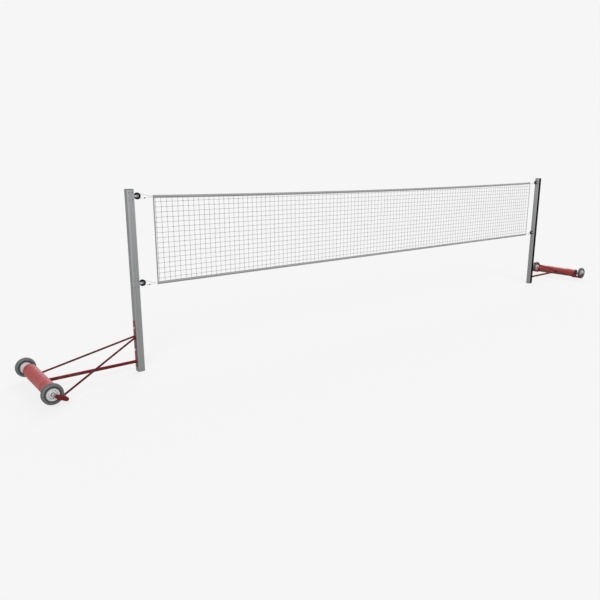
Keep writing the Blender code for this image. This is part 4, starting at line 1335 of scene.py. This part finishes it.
def spaced(route, step):
    """Return points a step apart along a route of straight lines."""
    points = [Vector((route[0][0], 0.0, route[0][1]))]
    for (x0, z0), (x1, z1) in zip(route, route[1:]):
        count = max(1, round(math.hypot(x1 - x0, z1 - z0) / step))
        shares = [index / count for index in range(1, count + 1)]
        points += [Vector((x0 + (x1 - x0) * share, 0.0, z0 + (z1 - z0) * share)) for share in shares]
    return points


def braided(shape, path):
    """Add a braided cord along a path: a round tube with crossing strands raised on it."""
    rows = []
    travelled = 0.0
    for index, point in enumerate(path):
        before = path[max(index - 1, 0)]
        travelled += (point - before).length
        heading = (path[min(index + 1, len(path) - 1)] - before).normalized()
        up = heading.cross(AXES["Y"]).normalized()
        phase = 2 * math.pi * travelled / CORD_BRAID_PITCH
        row = []
        for step in range(CORD_SIDES):
            angle = 2 * math.pi * step / CORD_SIDES
            strands = math.sin(phase + 3 * angle) * math.sin(phase - 3 * angle)
            radius = CORD_RADIUS - CORD_BRAID + CORD_BRAID * strands
            row.append(point + AXES["Y"] * radius * math.cos(angle) + up * radius * math.sin(angle))
        rows.append(row)
    shape.grid(rows, capped=True)


def add_cord(level):
    """Add one cord: from its left tail over the pulley, through the hem, and out to its right tail."""
    left = spaced(cord_end_route(level), CORD_STEP)
    hem_xs = [-hem_end + 2 * hem_end * step / CORD_HEM_STEPS for step in range(CORD_HEM_STEPS + 1)]
    inside = [Vector((x, 0.0, hem_height(level, x))) for x in hem_xs]
    right = [Vector((-point.x, 0.0, point.z)) for point in reversed(left)]
    shape = Shape()
    braided(shape, left + inside + right)
    shape.piece(level + "_cord_braided", "cord_white", replaces=[level + "_cord"])


def add_cord_end(prefix, level):
    """Add the dark cord clamp on the lower run, and the whipping round the tail's end."""
    tail, under = [Vector((x - unit_origin.x, 0.0, z)) for x, z in cord_end_route(level)[:2]]
    place = under.lerp(tail, (CLAMP_FROM_POST - under.x) / (tail.x - under.x))
    clamp = Shape()
    turned(clamp, filleted(mirrored(CLAMP_HALF), 0.0005, 2), place, "X", 28)
    clamp.unit_piece(prefix, f"cord_clamp_{level}", "pulley_black")
    whipping = Shape()
    along = (tail - under).normalized()
    side = along.cross(AXES["Y"]).normalized()
    for turn in range(WHIPPING_TURNS):
        middle = tail - along * (WHIPPING_START + WHIPPING_PITCH * turn)
        loop = [middle + AXES["Y"] * u + side * v for u, v in circle((0, 0), CORD_RADIUS + 0.0001, 24)]
        tube(whipping, loop, WHIPPING_RADIUS, 6, closed=True)
    whipping.unit_piece(prefix, f"cord_whipping_{level}", "cord_white")


# Stage

CAMERA_FAR = 400.0
BACKDROP = 246                  # the display value of the pale background
SKY_LIGHT = 0.52
FLOOR_ALBEDO = 0.30
FLOOR_SHADED_SHARE = 0.36       # how much of the floor's own shading the picture keeps
FLOOR_SIZE = 150.0
FLOOR_DROP = 0.0003
SUNS = (
    # name, direction toward the sun, light on a surface that faces it, width in degrees
    ("front_sun", (-0.42, -0.66, 0.62), 0.70, 28),
    ("back_sun", (0.58, 0.58, 0.57), 0.48, 34),
)


def add_camera():
    """Add the camera that the photograph was taken from."""
    data = bpy.data.cameras.new("camera")
    data.lens = CAMERA_LENS
    data.sensor_width = CAMERA_SENSOR
    data.clip_end = CAMERA_FAR
    camera = bpy.data.objects.new("camera", data)
    camera.location = CAMERA_PLACE
    camera.rotation_euler = (math.pi / 2 - CAMERA_PITCH, 0.0, -CAMERA_TURN)
    bpy.context.scene.collection.objects.link(camera)
    bpy.context.scene.camera = camera


def shader(tree, kind, level, strength=None):
    """Add a shader of an even grey and return its output."""
    added = tree.nodes.new(kind)
    added.inputs["Color"].default_value = (level, level, level, 1.0)
    if strength is not None:
        added.inputs["Strength"].default_value = strength
    return added.outputs[0]


def seen_directly(tree):
    """Return 1 for rays from the camera, and for those that a shiny or clear surface sends on."""
    path = tree.nodes.new("ShaderNodeLightPath")
    total = path.outputs["Is Camera Ray"]
    for name in ("Is Glossy Ray", "Is Transmission Ray"):
        larger = tree.nodes.new("ShaderNodeMath")
        larger.operation = "MAXIMUM"
        tree.links.new(total, larger.inputs[0])
        tree.links.new(path.outputs[name], larger.inputs[1])
        total = larger.outputs[0]
    return total


def split_by_ray(tree, output_kind, lights, seen):
    """Let one shader light the scene, and show the other one in its place."""
    mixer = tree.nodes.new("ShaderNodeMixShader")
    output = tree.nodes.new(output_kind)
    for socket, source in (("Fac", seen_directly(tree)), (1, lights), (2, seen)):
        tree.links.new(source, mixer.inputs[socket])
    tree.links.new(mixer.outputs[0], output.inputs["Surface"])


def add_light():
    """Light the scene softly and evenly, and give it a pale backdrop."""
    for name, direction, level, width in SUNS:
        lamp = bpy.data.lights.new(name, "SUN")
        lamp.energy = level * math.pi
        lamp.angle = math.radians(width)
        sun = bpy.data.objects.new(name, lamp)
        sun.rotation_euler = Vector(direction).to_track_quat("Z", "Y").to_euler()
        bpy.context.scene.collection.objects.link(sun)

    world = bpy.data.worlds.new("studio")
    bpy.context.scene.world = world
    world.use_nodes = True
    tree = world.node_tree
    tree.nodes.clear()
    sky = shader(tree, "ShaderNodeBackground", 1.0, SKY_LIGHT)
    split_by_ray(tree, "ShaderNodeOutputWorld", sky, shader(tree, "ShaderNodeBackground", linear(BACKDROP)))


def add_floor():
    """Add the pale floor, which shows the backdrop's colour and keeps a soft shadow."""
    mesh = bpy.data.meshes.new("floor")
    corners = rectangle(FLOOR_SIZE, -FLOOR_SIZE, FLOOR_SIZE)
    mesh.from_pydata([(x, y, 0) for x, y in corners], [], [(0, 1, 2, 3)])
    floor = bpy.data.objects.new("floor", mesh)
    floor.location.z = -FLOOR_DROP
    material = bpy.data.materials.new("floor")
    material.use_nodes = True
    tree = material.node_tree
    tree.nodes.clear()
    light = SKY_LIGHT + sum(level * Vector(toward).normalized().z for _, toward, level, _ in SUNS)
    glow = linear(BACKDROP) - FLOOR_SHADED_SHARE * FLOOR_ALBEDO * light
    both = tree.nodes.new("ShaderNodeAddShader")
    tree.links.new(shader(tree, "ShaderNodeBsdfDiffuse", FLOOR_ALBEDO * FLOOR_SHADED_SHARE), both.inputs[0])
    tree.links.new(shader(tree, "ShaderNodeEmission", 1.0, glow), both.inputs[1])
    matt = shader(tree, "ShaderNodeBsdfDiffuse", FLOOR_ALBEDO)
    split_by_ray(tree, "ShaderNodeOutputMaterial", matt, both.outputs[0])
    mesh.materials.append(material)
    bpy.context.scene.collection.objects.link(floor)


# Everything in turn

random.seed(7)
add_camera()
LOOKS = make_looks()
for level in LEVELS:
    add_cord(level)
for prefix, sides in UNIT_SIDES.items():
    add_post(prefix)
    add_frame(prefix)
    add_drum(prefix)
    for side, end_name in sides.items():
        add_fork(prefix, side, end_name)
        add_axle(prefix, side, end_name)
        add_wheel(prefix, side, end_name)
    for level in LEVELS:
        add_pulley(prefix, level)
        add_cord_end(prefix, level)
netting = add_netting()
stitches = add_stitches()
side_tapes = [add_side_tape("side_tape_left", -1), add_side_tape("side_tape_right", 1)]
hems = {level: add_hem_tape(level) for level in LEVELS}
for prefix in UNITS:
    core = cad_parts[prefix + "_ballast_core"]
    core.data.materials.clear()
    core.data.materials.append(LOOKS["core_iron"])

add_light()
add_floor()
bpy.context.scene.view_settings.view_transform = "Standard"
